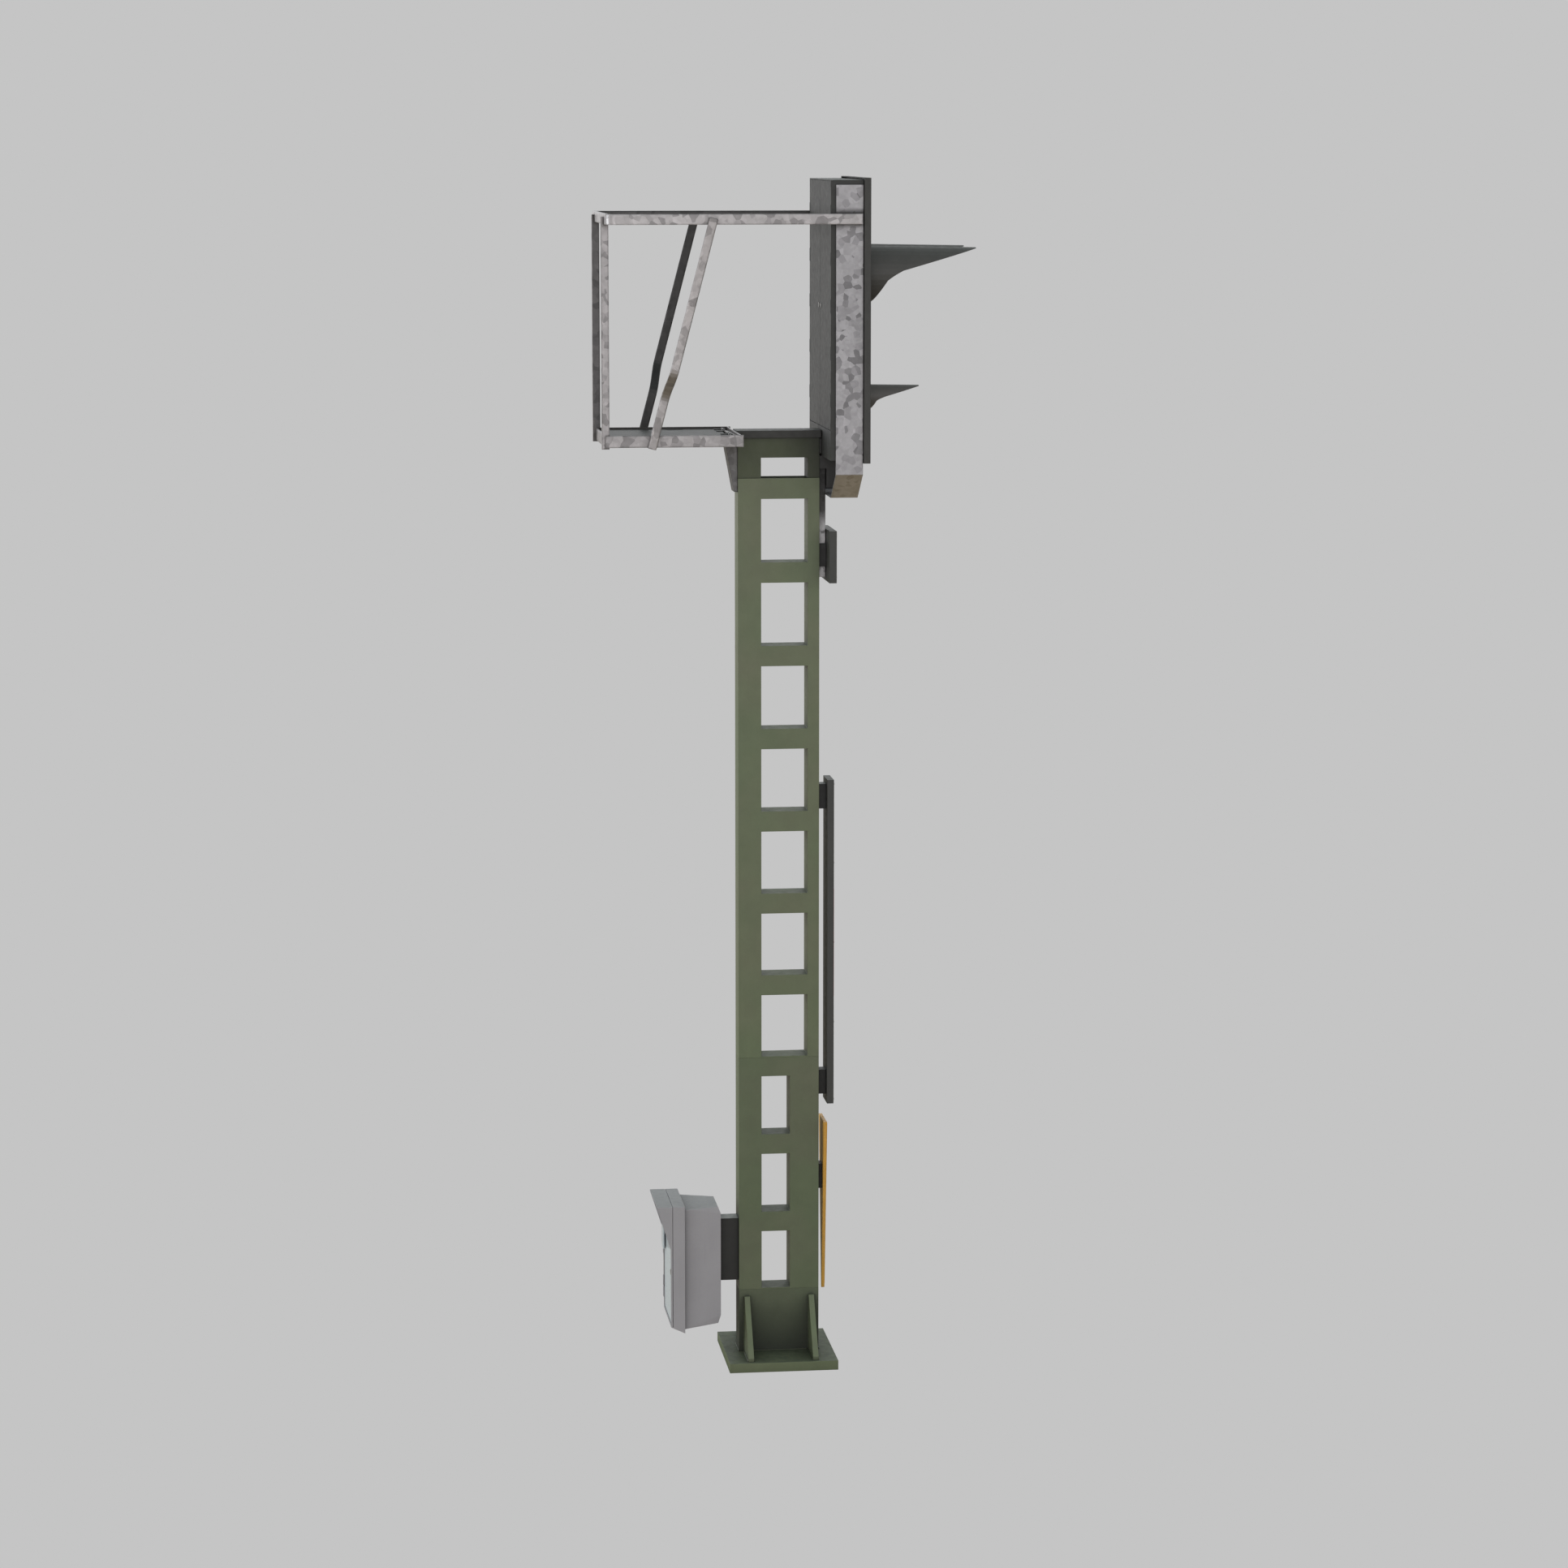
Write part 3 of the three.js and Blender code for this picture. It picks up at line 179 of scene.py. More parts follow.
class Graph:
    """The node tree of a new material or world, with short calls for the nodes used here."""

    def __init__(self, name, kind=bpy.data.materials):
        self.owner = kind.new(name)
        self.owner.use_nodes = True
        self.tree = self.owner.node_tree
        self.tree.nodes.clear()
        coords = self.tree.nodes.new("ShaderNodeTexCoord")
        self.object = coords.outputs["Object"]
        self.normal = coords.outputs["Normal"]
        self.generated = coords.outputs["Generated"]

    def node(self, kind, inputs=None, **settings):
        made = self.tree.nodes.new(kind)
        for key, value in settings.items():
            setattr(made, key, value)
        for key, value in (inputs or {}).items():
            self.feed(made.inputs[key], value)
        return made

    def feed(self, socket, value):
        if isinstance(value, bpy.types.NodeSocket):
            self.tree.links.new(value, socket)
        else:
            socket.default_value = value

    def math(self, operation, a, b=0.0, clamp=False):
        made = self.node("ShaderNodeMath", {0: a, 1: b}, operation=operation, use_clamp=clamp)
        return made.outputs[0]

    def mix(self, amount, a, b, mode="MIX"):
        made = self.node("ShaderNodeMix", {0: amount}, data_type="RGBA", blend_type=mode)
        self.feed(made.inputs[6], rgba(a))
        self.feed(made.inputs[7], rgba(b))
        return made.outputs[2]

    def range(self, value, low, high, to_low=0.0, to_high=1.0):
        return self.node("ShaderNodeMapRange", {
            "Value": value, "From Min": low, "From Max": high, "To Min": to_low, "To Max": to_high,
        }).outputs[0]

    def ramp(self, value, stops, interpolation="LINEAR"):
        """The colour at a place from 0 to 1, from (place, colour) stops."""
        made = self.node("ShaderNodeValToRGB", {0: value})
        made.color_ramp.interpolation = interpolation
        marks = made.color_ramp.elements
        for mark, (place, color) in zip(marks, (stops[0], stops[-1])):
            mark.position, mark.color = place, rgba(color)
        for place, color in stops[1:-1]:
            marks.new(place).color = rgba(color)
        return made.outputs[0]

    def noise(self, scale, detail=2.0, stretch=None):
        where = self.object
        if stretch:
            where = self.node("ShaderNodeMapping", {"Vector": where, "Scale": stretch}).outputs[0]
        return self.node("ShaderNodeTexNoise", {
            "Vector": where, "Scale": scale, "Detail": detail, "Roughness": 0.6,
        }).outputs["Fac"]

    def times(self, color, level):
        """The colour made lighter or darker by a number."""
        grey = self.node("ShaderNodeCombineColor", {i: level for i in range(3)}).outputs[0]
        return self.mix(1.0, color, grey, "MULTIPLY")

    def axis(self, vector, name):
        return self.node("ShaderNodeSeparateXYZ", {0: vector}).outputs[name]

    def occlusion(self, reach, power):
        """1 in the open, towards 0 in crevices."""
        made = self.node("ShaderNodeAmbientOcclusion", {"Distance": reach}, samples=6)
        return self.math("POWER", made.outputs["AO"], power)

    def rounded(self, radius):
        return self.node("ShaderNodeBevel", {"Radius": radius}, samples=4).outputs[0]

    def edges(self, normal):
        """1 on edges, 0 on flats, from how far the rounded normal leaves the true one."""
        true = self.node("ShaderNodeNewGeometry").outputs["Normal"]
        dot = self.node("ShaderNodeVectorMath", {0: normal, 1: true}, operation="DOT_PRODUCT")
        return self.range(dot.outputs["Value"], 0.995, 0.8)

    def bump(self, height, strength, depth, normal=None):
        made = self.node("ShaderNodeBump", {
            "Height": height, "Strength": strength, "Distance": depth,
        })
        if normal is not None:
            self.feed(made.inputs["Normal"], normal)
        return made.outputs[0]

    def finish(self, color, rough, normal=None, metallic=0.0, **more):
        inputs = {"Base Color": rgba(color), "Roughness": rough, "Metallic": metallic}
        inputs.update({key.replace("_", " "): value for key, value in more.items()})
        shader = self.node("ShaderNodeBsdfPrincipled", inputs)
        if normal is not None:
            self.feed(shader.inputs["Normal"], normal)
        self.node("ShaderNodeOutputMaterial", {"Surface": shader.outputs[0]})
        return self.owner

    def for_camera(self, shown, lit):
        """One shader where the camera looks straight at it, another for all other light."""
        camera = self.node("ShaderNodeLightPath").outputs["Is Camera Ray"]
        return self.node("ShaderNodeMixShader", {0: camera, 1: lit, 2: shown}).outputs[0]


def rgba(color):
    if isinstance(color, bpy.types.NodeSocket):
        return color
    return (*color, 1.0) if len(color) == 3 else color


# ------------------------------------------------------------------ materials

# Dark colours that painted shade darkens towards: the first on paint, the second on zinc.
PAINTED_SHADE = (0.012, 0.013, 0.010)
PAINTED_SHADE_ZINC = (0.012, 0.012, 0.011)


def paint(name, color, drift, rough=0.55, reach=0.18, power=1.0, edge=1.35, chips=0.0,
          dust_and_top_light=0.15, dust_and_top_light_color=(0.20, 0.24, 0.21), shade_ramp=None, peel=0.07, mottle=0.06,
          coat=0.0, back=None, specular=0.5):
    """Sprayed paint: slow drift between two shades, grain, painted highlights on the edges, dust on
    top faces with painted light or shade there, painted shade in crevices, chips on the edges and
    an orange-peel surface. A painted shade can darken the colour along one axis, and a sign can
    have a lighter colour on its back: painted light where the mast keeps the light off it."""
    g = Graph(name)
    slow = g.range(g.noise(1.7, 3.0), 0.38, 0.62)
    base = g.mix(slow, color, drift)
    blotch = g.range(g.noise(11.0, 4.0), 0.35, 0.7, 1.0 - mottle, 1.0 + mottle)
    grain = g.range(g.noise(420.0, 2.0), 0.3, 0.7, 0.95, 1.05)
    base = g.times(base, g.math("MULTIPLY", blotch, grain))
    streaks = g.range(g.noise(9.0, 3.0, stretch=(6.0, 6.0, 0.35)), 0.56, 0.8, 0.0, 0.08)
    base = g.mix(streaks, base, [0.55 * c for c in color])
    # Top faces take the dust colour: dust, and painted light or shade on the tops, lighter on the
    # black brackets and darker on the base plate.
    up = g.range(g.axis(g.normal, "Z"), 0.55, 0.95, 0.0, dust_and_top_light)
    base = g.mix(g.math("MULTIPLY", up, g.range(g.noise(26.0, 4.0), 0.3, 0.7, 0.5, 1.0)), base,
                 dust_and_top_light_color)
    # Painted shade: the colour darkens along one axis, fully at the first value given and not at
    # all at the second.
    if shade_ramp:
        axis, low, high, amount = shade_ramp
        base = g.mix(g.range(g.axis(g.object, axis), low, high, amount, 0.0), base, PAINTED_SHADE)
    # Faces that look towards +Y take the back colour: painted light on a sign's back, which lies in
    # the mast's shade.
    if back:
        base = g.mix(g.range(g.axis(g.normal, "Y"), 0.5, 0.9), base, back)
    # The colour is lightened along the edges: a painted highlight.
    soft = g.rounded(0.004)
    line = g.edges(soft)
    base = g.mix(g.math("MULTIPLY", line, 0.55), base, [min(1.0, edge * c) for c in color])
    if chips:
        worn = g.math("MULTIPLY", line, g.range(g.noise(70.0, 5.0), 0.60, 0.66), clamp=True)
        base = g.mix(g.math("MULTIPLY", worn, chips), base, (0.16, 0.10, 0.065))
    # Crevices darken towards a tenth of the colour: painted shade.
    open_air = g.occlusion(reach, power)
    base = g.mix(open_air, [0.10 * c for c in color], base)
    normal = g.bump(g.noise(260.0, 3.0), peel, 0.0004, soft)
    gloss = g.range(g.noise(38.0, 3.0), 0.3, 0.7, rough - 0.06, rough + 0.08)
    shine = g.range(g.math("ABSOLUTE", g.axis(g.normal, "Z")), 0.3, 0.7, coat, 0.0)
    return g.finish(base, gloss, normal, Coat_Weight=shine, Coat_Roughness=0.3,
                    Specular_IOR_Level=specular)


def galvanised(name, color=(0.405, 0.396, 0.417), scale=35.0, inner=0.30, reach=0.05, power=1.2,
               dark=0.50, rough=0.44, round_by=0.005, shade_bands=(), ground_reflection=(0.50, 0.42, 0.30),
               relief_by=0.06):
    """Hot-dip zinc: angular crystals in a few shades, a painted reflection of the warm ground on
    faces that look down, inner faces darkened with painted shade, and painted shade in crevices.
    Each band of painted shade darkens a stretch of height: where it is full, where it has gone,
    how dark it is, and the height that it doesn't cross."""
    g = Graph(name)
    wobble = g.node("ShaderNodeTexNoise", {"Vector": g.object, "Scale": 30.0, "Detail": 2.0})
    bent = g.node("ShaderNodeVectorMath", {0: wobble.outputs["Color"], 1: (0.006, 0.006, 0.006)},
                  operation="MULTIPLY").outputs[0]
    where = g.node("ShaderNodeVectorMath", {0: g.object, 1: bent}, operation="ADD").outputs[0]
    crystal = g.node("ShaderNodeTexVoronoi", {"Vector": where, "Scale": scale})
    shade = g.node("ShaderNodeSeparateColor", {0: crystal.outputs["Color"]})
    small = g.node("ShaderNodeTexVoronoi", {"Vector": where, "Scale": scale * 2.1})
    small_shade = g.node("ShaderNodeSeparateColor", {0: small.outputs["Color"]})
    shades = ((0.0, dark), (0.07, 0.62), (0.20, 0.80), (0.38, 0.93), (0.55, 1.0), (0.90, 1.08))
    tint = g.ramp(shade.outputs[0], [(place, [grey] * 3) for place, grey in shades], "CONSTANT")
    base = g.mix(1.0, color, tint, "MULTIPLY")
    fine = g.range(small_shade.outputs[1], 0.0, 1.0, 0.93, 1.05)
    cloud = g.range(g.noise(7.0, 4.0), 0.3, 0.7, 0.92, 1.06)
    base = g.times(base, g.math("MULTIPLY", fine, cloud))
    soft = g.rounded(round_by)
    line = g.edges(soft)
    # Faces that look down take a warm colour: a painted reflection of the warm ground.
    down = g.range(g.axis(g.normal, "Z"), -0.3, -0.7)
    base = g.mix(g.math("MULTIPLY", down, 0.55), base, ground_reflection)
    # Faces that look in towards the middle are darkened: painted shade.
    side = g.math("MULTIPLY", g.axis(g.object, "X"), g.axis(g.normal, "X"))
    inner_shade = g.math("MULTIPLY", g.range(side, -0.01, -0.03), 1.0 - inner)
    base = g.mix(inner_shade, base, (0.02, 0.02, 0.02))
    # Crevices darken towards a dark brown-grey: painted shade.
    open_air = g.occlusion(reach, power)
    base = g.mix(open_air, (0.05, 0.045, 0.04), base)
    # Painted shade over stretches of height, each band as listed by the caller.
    height = g.axis(g.object, "Z")
    for full, none, amount, limit in shade_bands:
        low, high = min(full, none), max(full, none)
        ends = (amount, 0.0) if full < none else (0.0, amount)
        here = g.math("GREATER_THAN" if full < none else "LESS_THAN", height, limit)
        base = g.mix(g.math("MULTIPLY", g.range(height, low, high, *ends), here), base, PAINTED_SHADE_ZINC)
    rust = g.math("MULTIPLY", g.range(g.noise(55.0, 5.0), 0.67, 0.72), line)
    base = g.mix(g.math("MULTIPLY", rust, 0.5), base, (0.23, 0.13, 0.07))
    roughness = g.range(small_shade.outputs[0], 0.0, 1.0, rough - 0.06, rough + 0.10)
    relief = g.math("ADD", g.math("MULTIPLY", shade.outputs[2], 0.6),
                    g.math("MULTIPLY", g.noise(300.0), 0.5))
    return g.finish(base, roughness, g.bump(relief, relief_by, 0.001, soft), 0.55)


def moulding(name, color, rough=0.5, reach=0.10, power=0.9, coat=0.0, hood_shadow=False):
    """Moulded resin: fine texture, faint mould bloom, painted highlights on the edges, painted
    shade on top faces and in crevices. Under the rain hood, a painted shadow of the hood can end
    along a slanting line."""
    g = Graph(name)
    bloom = g.range(g.noise(4.0, 3.0), 0.3, 0.7, 0.95, 1.04)
    grain = g.range(g.noise(520.0, 2.0), 0.3, 0.7, 0.95, 1.05)
    base = g.times(color, g.math("MULTIPLY", bloom, grain))
    runs = g.range(g.noise(14.0, 3.0, stretch=(5.0, 5.0, 0.3)), 0.58, 0.8, 0.0, 0.10)
    base = g.mix(runs, base, [0.5 * c for c in color])
    # Top faces darken towards a dark green-grey: painted shade.
    top_shade = g.math("MULTIPLY", g.range(g.axis(g.normal, "Z"), 0.3, 0.8),
                      g.range(g.noise(20.0, 4.0), 0.3, 0.7, 0.38, 0.46))
    base = g.mix(top_shade, base, (0.105, 0.125, 0.105))
    soft = g.rounded(0.004)
    # The colour is lightened along the edges: a painted highlight.
    base = g.mix(g.math("MULTIPLY", g.edges(soft), 0.7), base, [min(1.0, 1.6 * c) for c in color])
    # Crevices darken towards a quarter of the colour: painted shade.
    base = g.mix(g.occlusion(reach, power), [0.25 * c for c in color], base)
    # A painted shadow of the rain hood on faces that look towards +Y, ending along a slanting line.
    if hood_shadow:
        slant = g.math("ADD", g.axis(g.object, "Z"),
                       g.math("MULTIPLY", g.axis(g.object, "X"), 0.22))
        ragged = g.math("ADD", slant, g.math("MULTIPLY", g.noise(60.0, 3.0), 0.012))
        hood_shadow_mask = g.math("MULTIPLY", g.range(ragged, 0.551, 0.560),
                       g.range(g.axis(g.normal, "Y"), 0.5, 0.8))
        base = g.mix(g.math("MULTIPLY", hood_shadow_mask, 0.36), base, (0.05, 0.05, 0.05))
    return g.finish(base, g.range(g.noise(60.0), 0.3, 0.7, rough - 0.05, rough + 0.07),
                    g.bump(g.noise(700.0), 0.12, 0.0004, soft), 0.0, Coat_Weight=coat)


def bright_steel(name, color=(0.50, 0.49, 0.48)):
    """Turned steel: fine tool marks, a little tarnish."""
    g = Graph(name)
    marks = g.noise(90.0, 2.0, stretch=(1.0, 1.0, 14.0))
    tarnish = g.range(g.noise(40.0, 4.0), 0.45, 0.7)
    base = g.mix(tarnish, color, [0.55 * c for c in color])
    # Crevices darken: painted shade.
    base = g.mix(g.occlusion(0.03, 1.0), (0.03, 0.03, 0.03), base)
    rough = g.range(marks, 0.3, 0.7, 0.28, 0.42)
    return g.finish(base, rough, g.bump(marks, 0.1, 0.0004, g.rounded(0.001)), 0.9)


def lens_glass(name, color, centre, glow):
    """Pressed signal glass: concentric steps, a spreading grain, a deep colour and a faint painted
    glow, though the lamp behind it is not lit.
    """
    g = Graph(name)
    x = g.math("SUBTRACT", g.axis(g.object, "X"), centre[0])
    z = g.math("SUBTRACT", g.axis(g.object, "Z"), centre[1])
    radius = g.math("SQRT", g.math("ADD", g.math("MULTIPLY", x, x), g.math("MULTIPLY", z, z)))
    steps = g.math("FRACT", g.math("MULTIPLY", radius, 110.0))
    spread = g.node("ShaderNodeTexVoronoi", {"Vector": g.object, "Scale": 150.0})
    relief = g.math("ADD", steps, g.math("MULTIPLY", spread.outputs["Distance"], 0.5))
    deep = g.mix(g.range(radius, 0.0, 0.11, 0.0, 0.6), color, [0.35 * c for c in color])
    deep = g.mix(g.range(steps, 0.85, 1.0, 0.0, 0.5), deep, [0.4 * c for c in color])
    return g.finish(deep, 0.12, g.bump(relief, 0.5, 0.0016), Coat_Weight=0.6, Coat_Roughness=0.05,
                    Emission_Color=rgba(color), Emission_Strength=glow)


def reflective(name, color):
    """Prismatic sign sheeting: a honeycomb seal pattern over a bright colour."""
    g = Graph(name)
    cell = g.node("ShaderNodeTexVoronoi", {"Vector": g.object, "Scale": 170.0},
                  feature="DISTANCE_TO_EDGE")
    seam = g.range(cell.outputs["Distance"], 0.03, 0.09)
    base = g.mix(seam, [0.72 * c for c in color], color)
    fleck = g.range(g.noise(900.0, 1.0), 0.35, 0.65, 0.92, 1.05)
    base = g.times(base, fleck)
    dirt = g.range(g.noise(12.0, 5.0), 0.5, 0.75, 0.0, 0.22)
    base = g.mix(dirt, base, (0.20, 0.18, 0.15))
    return g.finish(base, 0.3, g.bump(seam, 0.08, 0.0004), 0.0, Coat_Weight=0.4)


def rubber(name, color, rough=0.6):
    """Cable sheath and seals."""
    g = Graph(name)
    base = g.mix(g.range(g.noise(80.0, 3.0), 0.35, 0.7), color, [0.7 * c for c in color])
    return g.finish(base, rough, g.bump(g.noise(400.0), 0.2, 0.0005))


def floor_plate(name):
    """The basket's floor: painted sheet with a rolled anti-slip pattern, scuffed by boots."""
    g = Graph(name)
    waves = []
    for direction in ("ADD", "SUBTRACT"):
        diagonal = g.math(direction, g.axis(g.object, "X"), g.axis(g.object, "Y"))
        waves.append(g.math("SINE", g.math("MULTIPLY", diagonal, 210.0)))
    lug = g.range(g.math("MULTIPLY", *waves), 0.45, 0.7)
    scuff = g.range(g.noise(16.0, 6.0), 0.45, 0.62)
    base = g.mix(scuff, (0.058, 0.060, 0.058), (0.078, 0.078, 0.076))
    polish = g.math("MULTIPLY", lug, g.range(scuff, 0.0, 1.0, 0.1, 0.4))
    base = g.mix(polish, base, (0.15, 0.15, 0.147))
    # Faces that stand upright, such as the walls of the hand slot, are painted dark: painted shade.
    upright_shade = g.range(g.math("ABSOLUTE", g.axis(g.normal, "Z")), 0.5, 0.3)
    base = g.mix(upright_shade, base, (0.016, 0.016, 0.016))
    # Crevices darken: painted shade.
    base = g.mix(g.occlusion(0.10, 1.2), (0.02, 0.02, 0.02), base)
    return g.finish(base, 0.5, g.bump(lug, 0.35, 0.0012, g.rounded(0.002)), 0.25)


def make_paints():
    green = (0.120, 0.152, 0.080)
    brown_green = (0.135, 0.151, 0.088)
    low = (0.103, 0.132, 0.070)
    low_drift = (0.119, 0.131, 0.080)
    return {
        "mast_upper": paint(
            "mast_green_upper", green, brown_green, chips=0.35, dust_and_top_light=0.0, coat=0.3),
        "mast_lower": paint(
            "mast_green_lower", low, low_drift, chips=0.4, dust_and_top_light=0.0, coat=0.3),
        # A darker copy of the mast's green, and darker still towards the base plate: painted shade
        # between the gussets.
        "mast_foot": paint(
            "mast_green_foot", (0.094, 0.118, 0.068), (0.100, 0.114, 0.071),
            reach=0.30, power=1.45, chips=0.5, shade_ramp=("Z", 0.045, 0.30, 0.38)),
        "gusset": paint(
            "mast_green_gusset", (0.134, 0.166, 0.092), (0.142, 0.158, 0.096),
            reach=0.06, chips=0.5),
        # The base plate's top faces take a dark green: painted shade from the foot and gussets.
        "base": paint(
            "mast_green_base", (0.165, 0.200, 0.115), (0.172, 0.196, 0.120), reach=0.11, power=0.5,
            chips=0.5, dust_and_top_light=0.85, dust_and_top_light_color=(0.076, 0.090, 0.068), specular=0.2),
        # A darker copy of the mast's green, and darker still towards the lamps' side: painted shade
        # under the head.
        "head_section": paint(
            "mast_green_head", (0.076, 0.092, 0.048), (0.072, 0.084, 0.048),
            reach=0.30, power=1.6, shade_ramp=("Y", -0.19, -0.02, 0.52)),
        "cap": paint(
            "cap_black", (0.031, 0.031, 0.029), (0.028, 0.028, 0.026), rough=0.5, edge=2.2),
        # The brackets' top faces take a light grey: a painted highlight.
        "bracket": paint(
            "bracket_black", (0.024, 0.0235, 0.0235), (0.0215, 0.022, 0.0215),
            rough=0.5, edge=1.8, reach=0.06, dust_and_top_light=0.85, dust_and_top_light_color=(0.54, 0.56, 0.54)),
        "charcoal": paint(
            "panel_charcoal", (0.049, 0.048, 0.046), (0.046, 0.046, 0.044),
            rough=0.55, reach=0.03, edge=1.5, dust_and_top_light=0.10),
        "hood": paint(
            "hood_charcoal", (0.063, 0.061, 0.058), (0.058, 0.058, 0.055),
            rough=0.5, reach=0.02, edge=1.5, dust_and_top_light=0.05, peel=0.03),
        # A lighter copy of the hood paint: painted light, for the small hood that the panel keeps
        # the key light off.
        "hood_small": paint(
            "small_hood_charcoal", (0.110, 0.105, 0.100), (0.103, 0.100, 0.095),
            rough=0.5, reach=0.02, edge=1.4, dust_and_top_light=0.05, peel=0.03),
        "housing": paint(
            "housing_grey", (0.036, 0.037, 0.036), (0.034, 0.035, 0.034),
            rough=0.56, reach=0.03, edge=1.15, dust_and_top_light=0.25, peel=0.02, mottle=0.02),
        # A lighter back colour: painted light on the sign's back.
        "sign_back": paint(
            "sign_back", (0.048, 0.049, 0.047), (0.046, 0.047, 0.045),
            rough=0.5, edge=1.4, reach=0.02, back=(0.066, 0.069, 0.064)),
        # A brighter orange on the back: painted light, where the mast keeps the light off it.
        "orange": paint(
            "orange_sheet", (0.62, 0.33, 0.052), (0.60, 0.315, 0.052), rough=0.45, reach=0.03,
            power=0.2, edge=1.15, dust_and_top_light=0.0, coat=0.25, back=(0.98, 0.56, 0.10)),
    }


def make_zinc():
    return {
        # Painted shade above and below the top rail.
        "galv": galvanised(
            "galvanised", shade_bands=((5.479, 5.506, 0.93, 5.479), (5.431, 5.412, 0.5, 5.431))),
        "galv_rail": galvanised(
            "galvanised_rail", color=(0.430, 0.412, 0.420), scale=30.0, dark=0.62, inner=0.12,
            rough=0.34, round_by=0.010),
        "galv_brace": galvanised(
            "galvanised_brace", color=(0.385, 0.365, 0.366), scale=26.0, dark=0.70, inner=0.06,
            rough=0.34, round_by=0.007, ground_reflection=(0.26, 0.22, 0.17), relief_by=0.015),
        "galv_post": galvanised(
            "galvanised_post", color=(0.345, 0.330, 0.337), scale=30.0, dark=0.62, inner=0.27,
            rough=0.34, round_by=0.010),
        "galv_tray": galvanised(
            "galvanised_tray", color=(0.355, 0.340, 0.347), scale=30.0, dark=0.62, inner=0.08,
            rough=0.34, round_by=0.010),
        # A darker copy of the zinc with deep crevice shade: painted shade on the platform bracket.
        "galv_dark": galvanised(
            "galvanised_shaded", color=(0.17, 0.166, 0.17), scale=34.0, reach=0.25, power=2.0),
        # Painted shade at the top of the strap, under the head.
        "galv_strap": galvanised(
            "galvanised_strap", color=(0.66, 0.65, 0.67), scale=45.0, reach=0.04, power=0.6,
            shade_bands=((4.090, 3.965, 0.93, 9.0),)),
    }


def make_small_looks():
    lamps = {name: lamp[:2] for name, lamp in LAMPS.items()}
    return {
        "grey": moulding("grey_moulding", (0.352, 0.342, 0.366), reach=0.10, power=2.0),
        "door": moulding("grey_door", (0.345, 0.338, 0.360), reach=0.03, hood_shadow=True),
        "blue": moulding(
            "pale_blue_panel", (0.66, 0.73, 0.78), rough=0.32, coat=0.2, hood_shadow=True),
        "cover": moulding("pale_blue_cover", (0.60, 0.66, 0.70), rough=0.32, coat=0.2),
        "steel": bright_steel("bright_steel"),
        "screw": bright_steel("screw_steel", (0.36, 0.355, 0.35)),
        "greased": bright_steel("greased_steel", (0.09, 0.088, 0.084)),
        "floor": floor_plate("floor_plate"),
        "terminal": moulding("terminal_plastic", (0.30, 0.30, 0.29), rough=0.45, reach=0.02),
        "phone": moulding("telephone_black", (0.020, 0.020, 0.021), rough=0.3, coat=0.4),
        "key": moulding("key_grey", (0.24, 0.24, 0.23), rough=0.45),
        "rubber": rubber("cable_black", (0.018, 0.018, 0.018)),
        "wire_red": rubber("wire_red", (0.30, 0.03, 0.02), 0.4),
        "wire_green": rubber("wire_green", (0.03, 0.20, 0.08), 0.4),
        "wire_grey": rubber("wire_grey", (0.25, 0.25, 0.25), 0.4),
        "green_glass": lens_glass("green_glass", (0.02, 0.36, 0.20), lamps["left"], 0.10),
        "red_glass": lens_glass("red_glass", (0.45, 0.018, 0.015), lamps["right"], 0.10),
        "clear_glass": lens_glass("clear_glass", (0.62, 0.62, 0.58), lamps["small"], 0.05),
        "sheet_white": reflective("sheet_white", (0.74, 0.74, 0.72)),
        "sheet_red": reflective("sheet_red", (0.50, 0.030, 0.026)),
        "sheet_yellow": reflective("sheet_yellow", (0.78, 0.44, 0.03)),
        "enamel": moulding("sign_enamel", (0.02, 0.02, 0.021), rough=0.25, coat=0.5),
        "weld": paint(
            "weld_green", (0.085, 0.098, 0.060), (0.080, 0.090, 0.056), reach=0.03, rough=0.5),
    }


NODE_LOOKS = {
    "mast_upper": ["upper_mast"],
    "mast_lower": ["lower_mast"],
    "mast_foot": ["foot_section"],
    "gusset": ["gusset_front_left", "gusset_front_right", "gusset_rear_left", "gusset_rear_right"],
    "base": ["base_plate"],
    "head_section": ["mast_head_section"],
    "cap": ["mast_cap"],
    "bracket": ["head_bracket", "head_mount_pad", "number_plate_clamp", "sign_bracket_upper",
                "sign_bracket_lower", "triangle_bracket", "box_bracket"],
    "charcoal": ["front_panel", "lamp_unit_left", "lamp_unit_right", "lamp_unit_small"],
    "hood": ["hood_left", "hood_right"],
    "hood_small": ["hood_small"],
    "housing": ["head_housing", "rear_leaf_left", "rear_leaf_right"],
    "sign_back": ["number_plate", "mast_sign"],
    "orange": ["triangle_plate"],
    "galv": ["head_carrier"],
    "galv_dark": ["platform_bracket"],
    "galv_rail": ["top_rail"],
    "galv_brace": ["brace_left", "brace_right"],
    "galv_post": ["corner_post_left", "corner_post_right"],
    "galv_tray": ["platform_frame"],
    "galv_strap": ["head_strap"],
    "grey": ["box_shell", "box_flange"],
    "door": ["box_door"],
    "blue": ["box_door_panel"],
    "steel": ["box_hinge_pin", "box_lock"],
    "screw": ["leaf_lock_left", "leaf_lock_right"],
    "greased": ["floor_hinge_pin", "leaf_hinge_rod_left", "leaf_hinge_rod_right"],
    "floor": ["platform_floor"],
    "terminal": ["terminal_strip"],
    "phone": ["telephone_set", "handset"],
    "green_glass": ["lens_left"],
    "red_glass": ["lens_right"],
    "clear_glass": ["lens_small"],
}


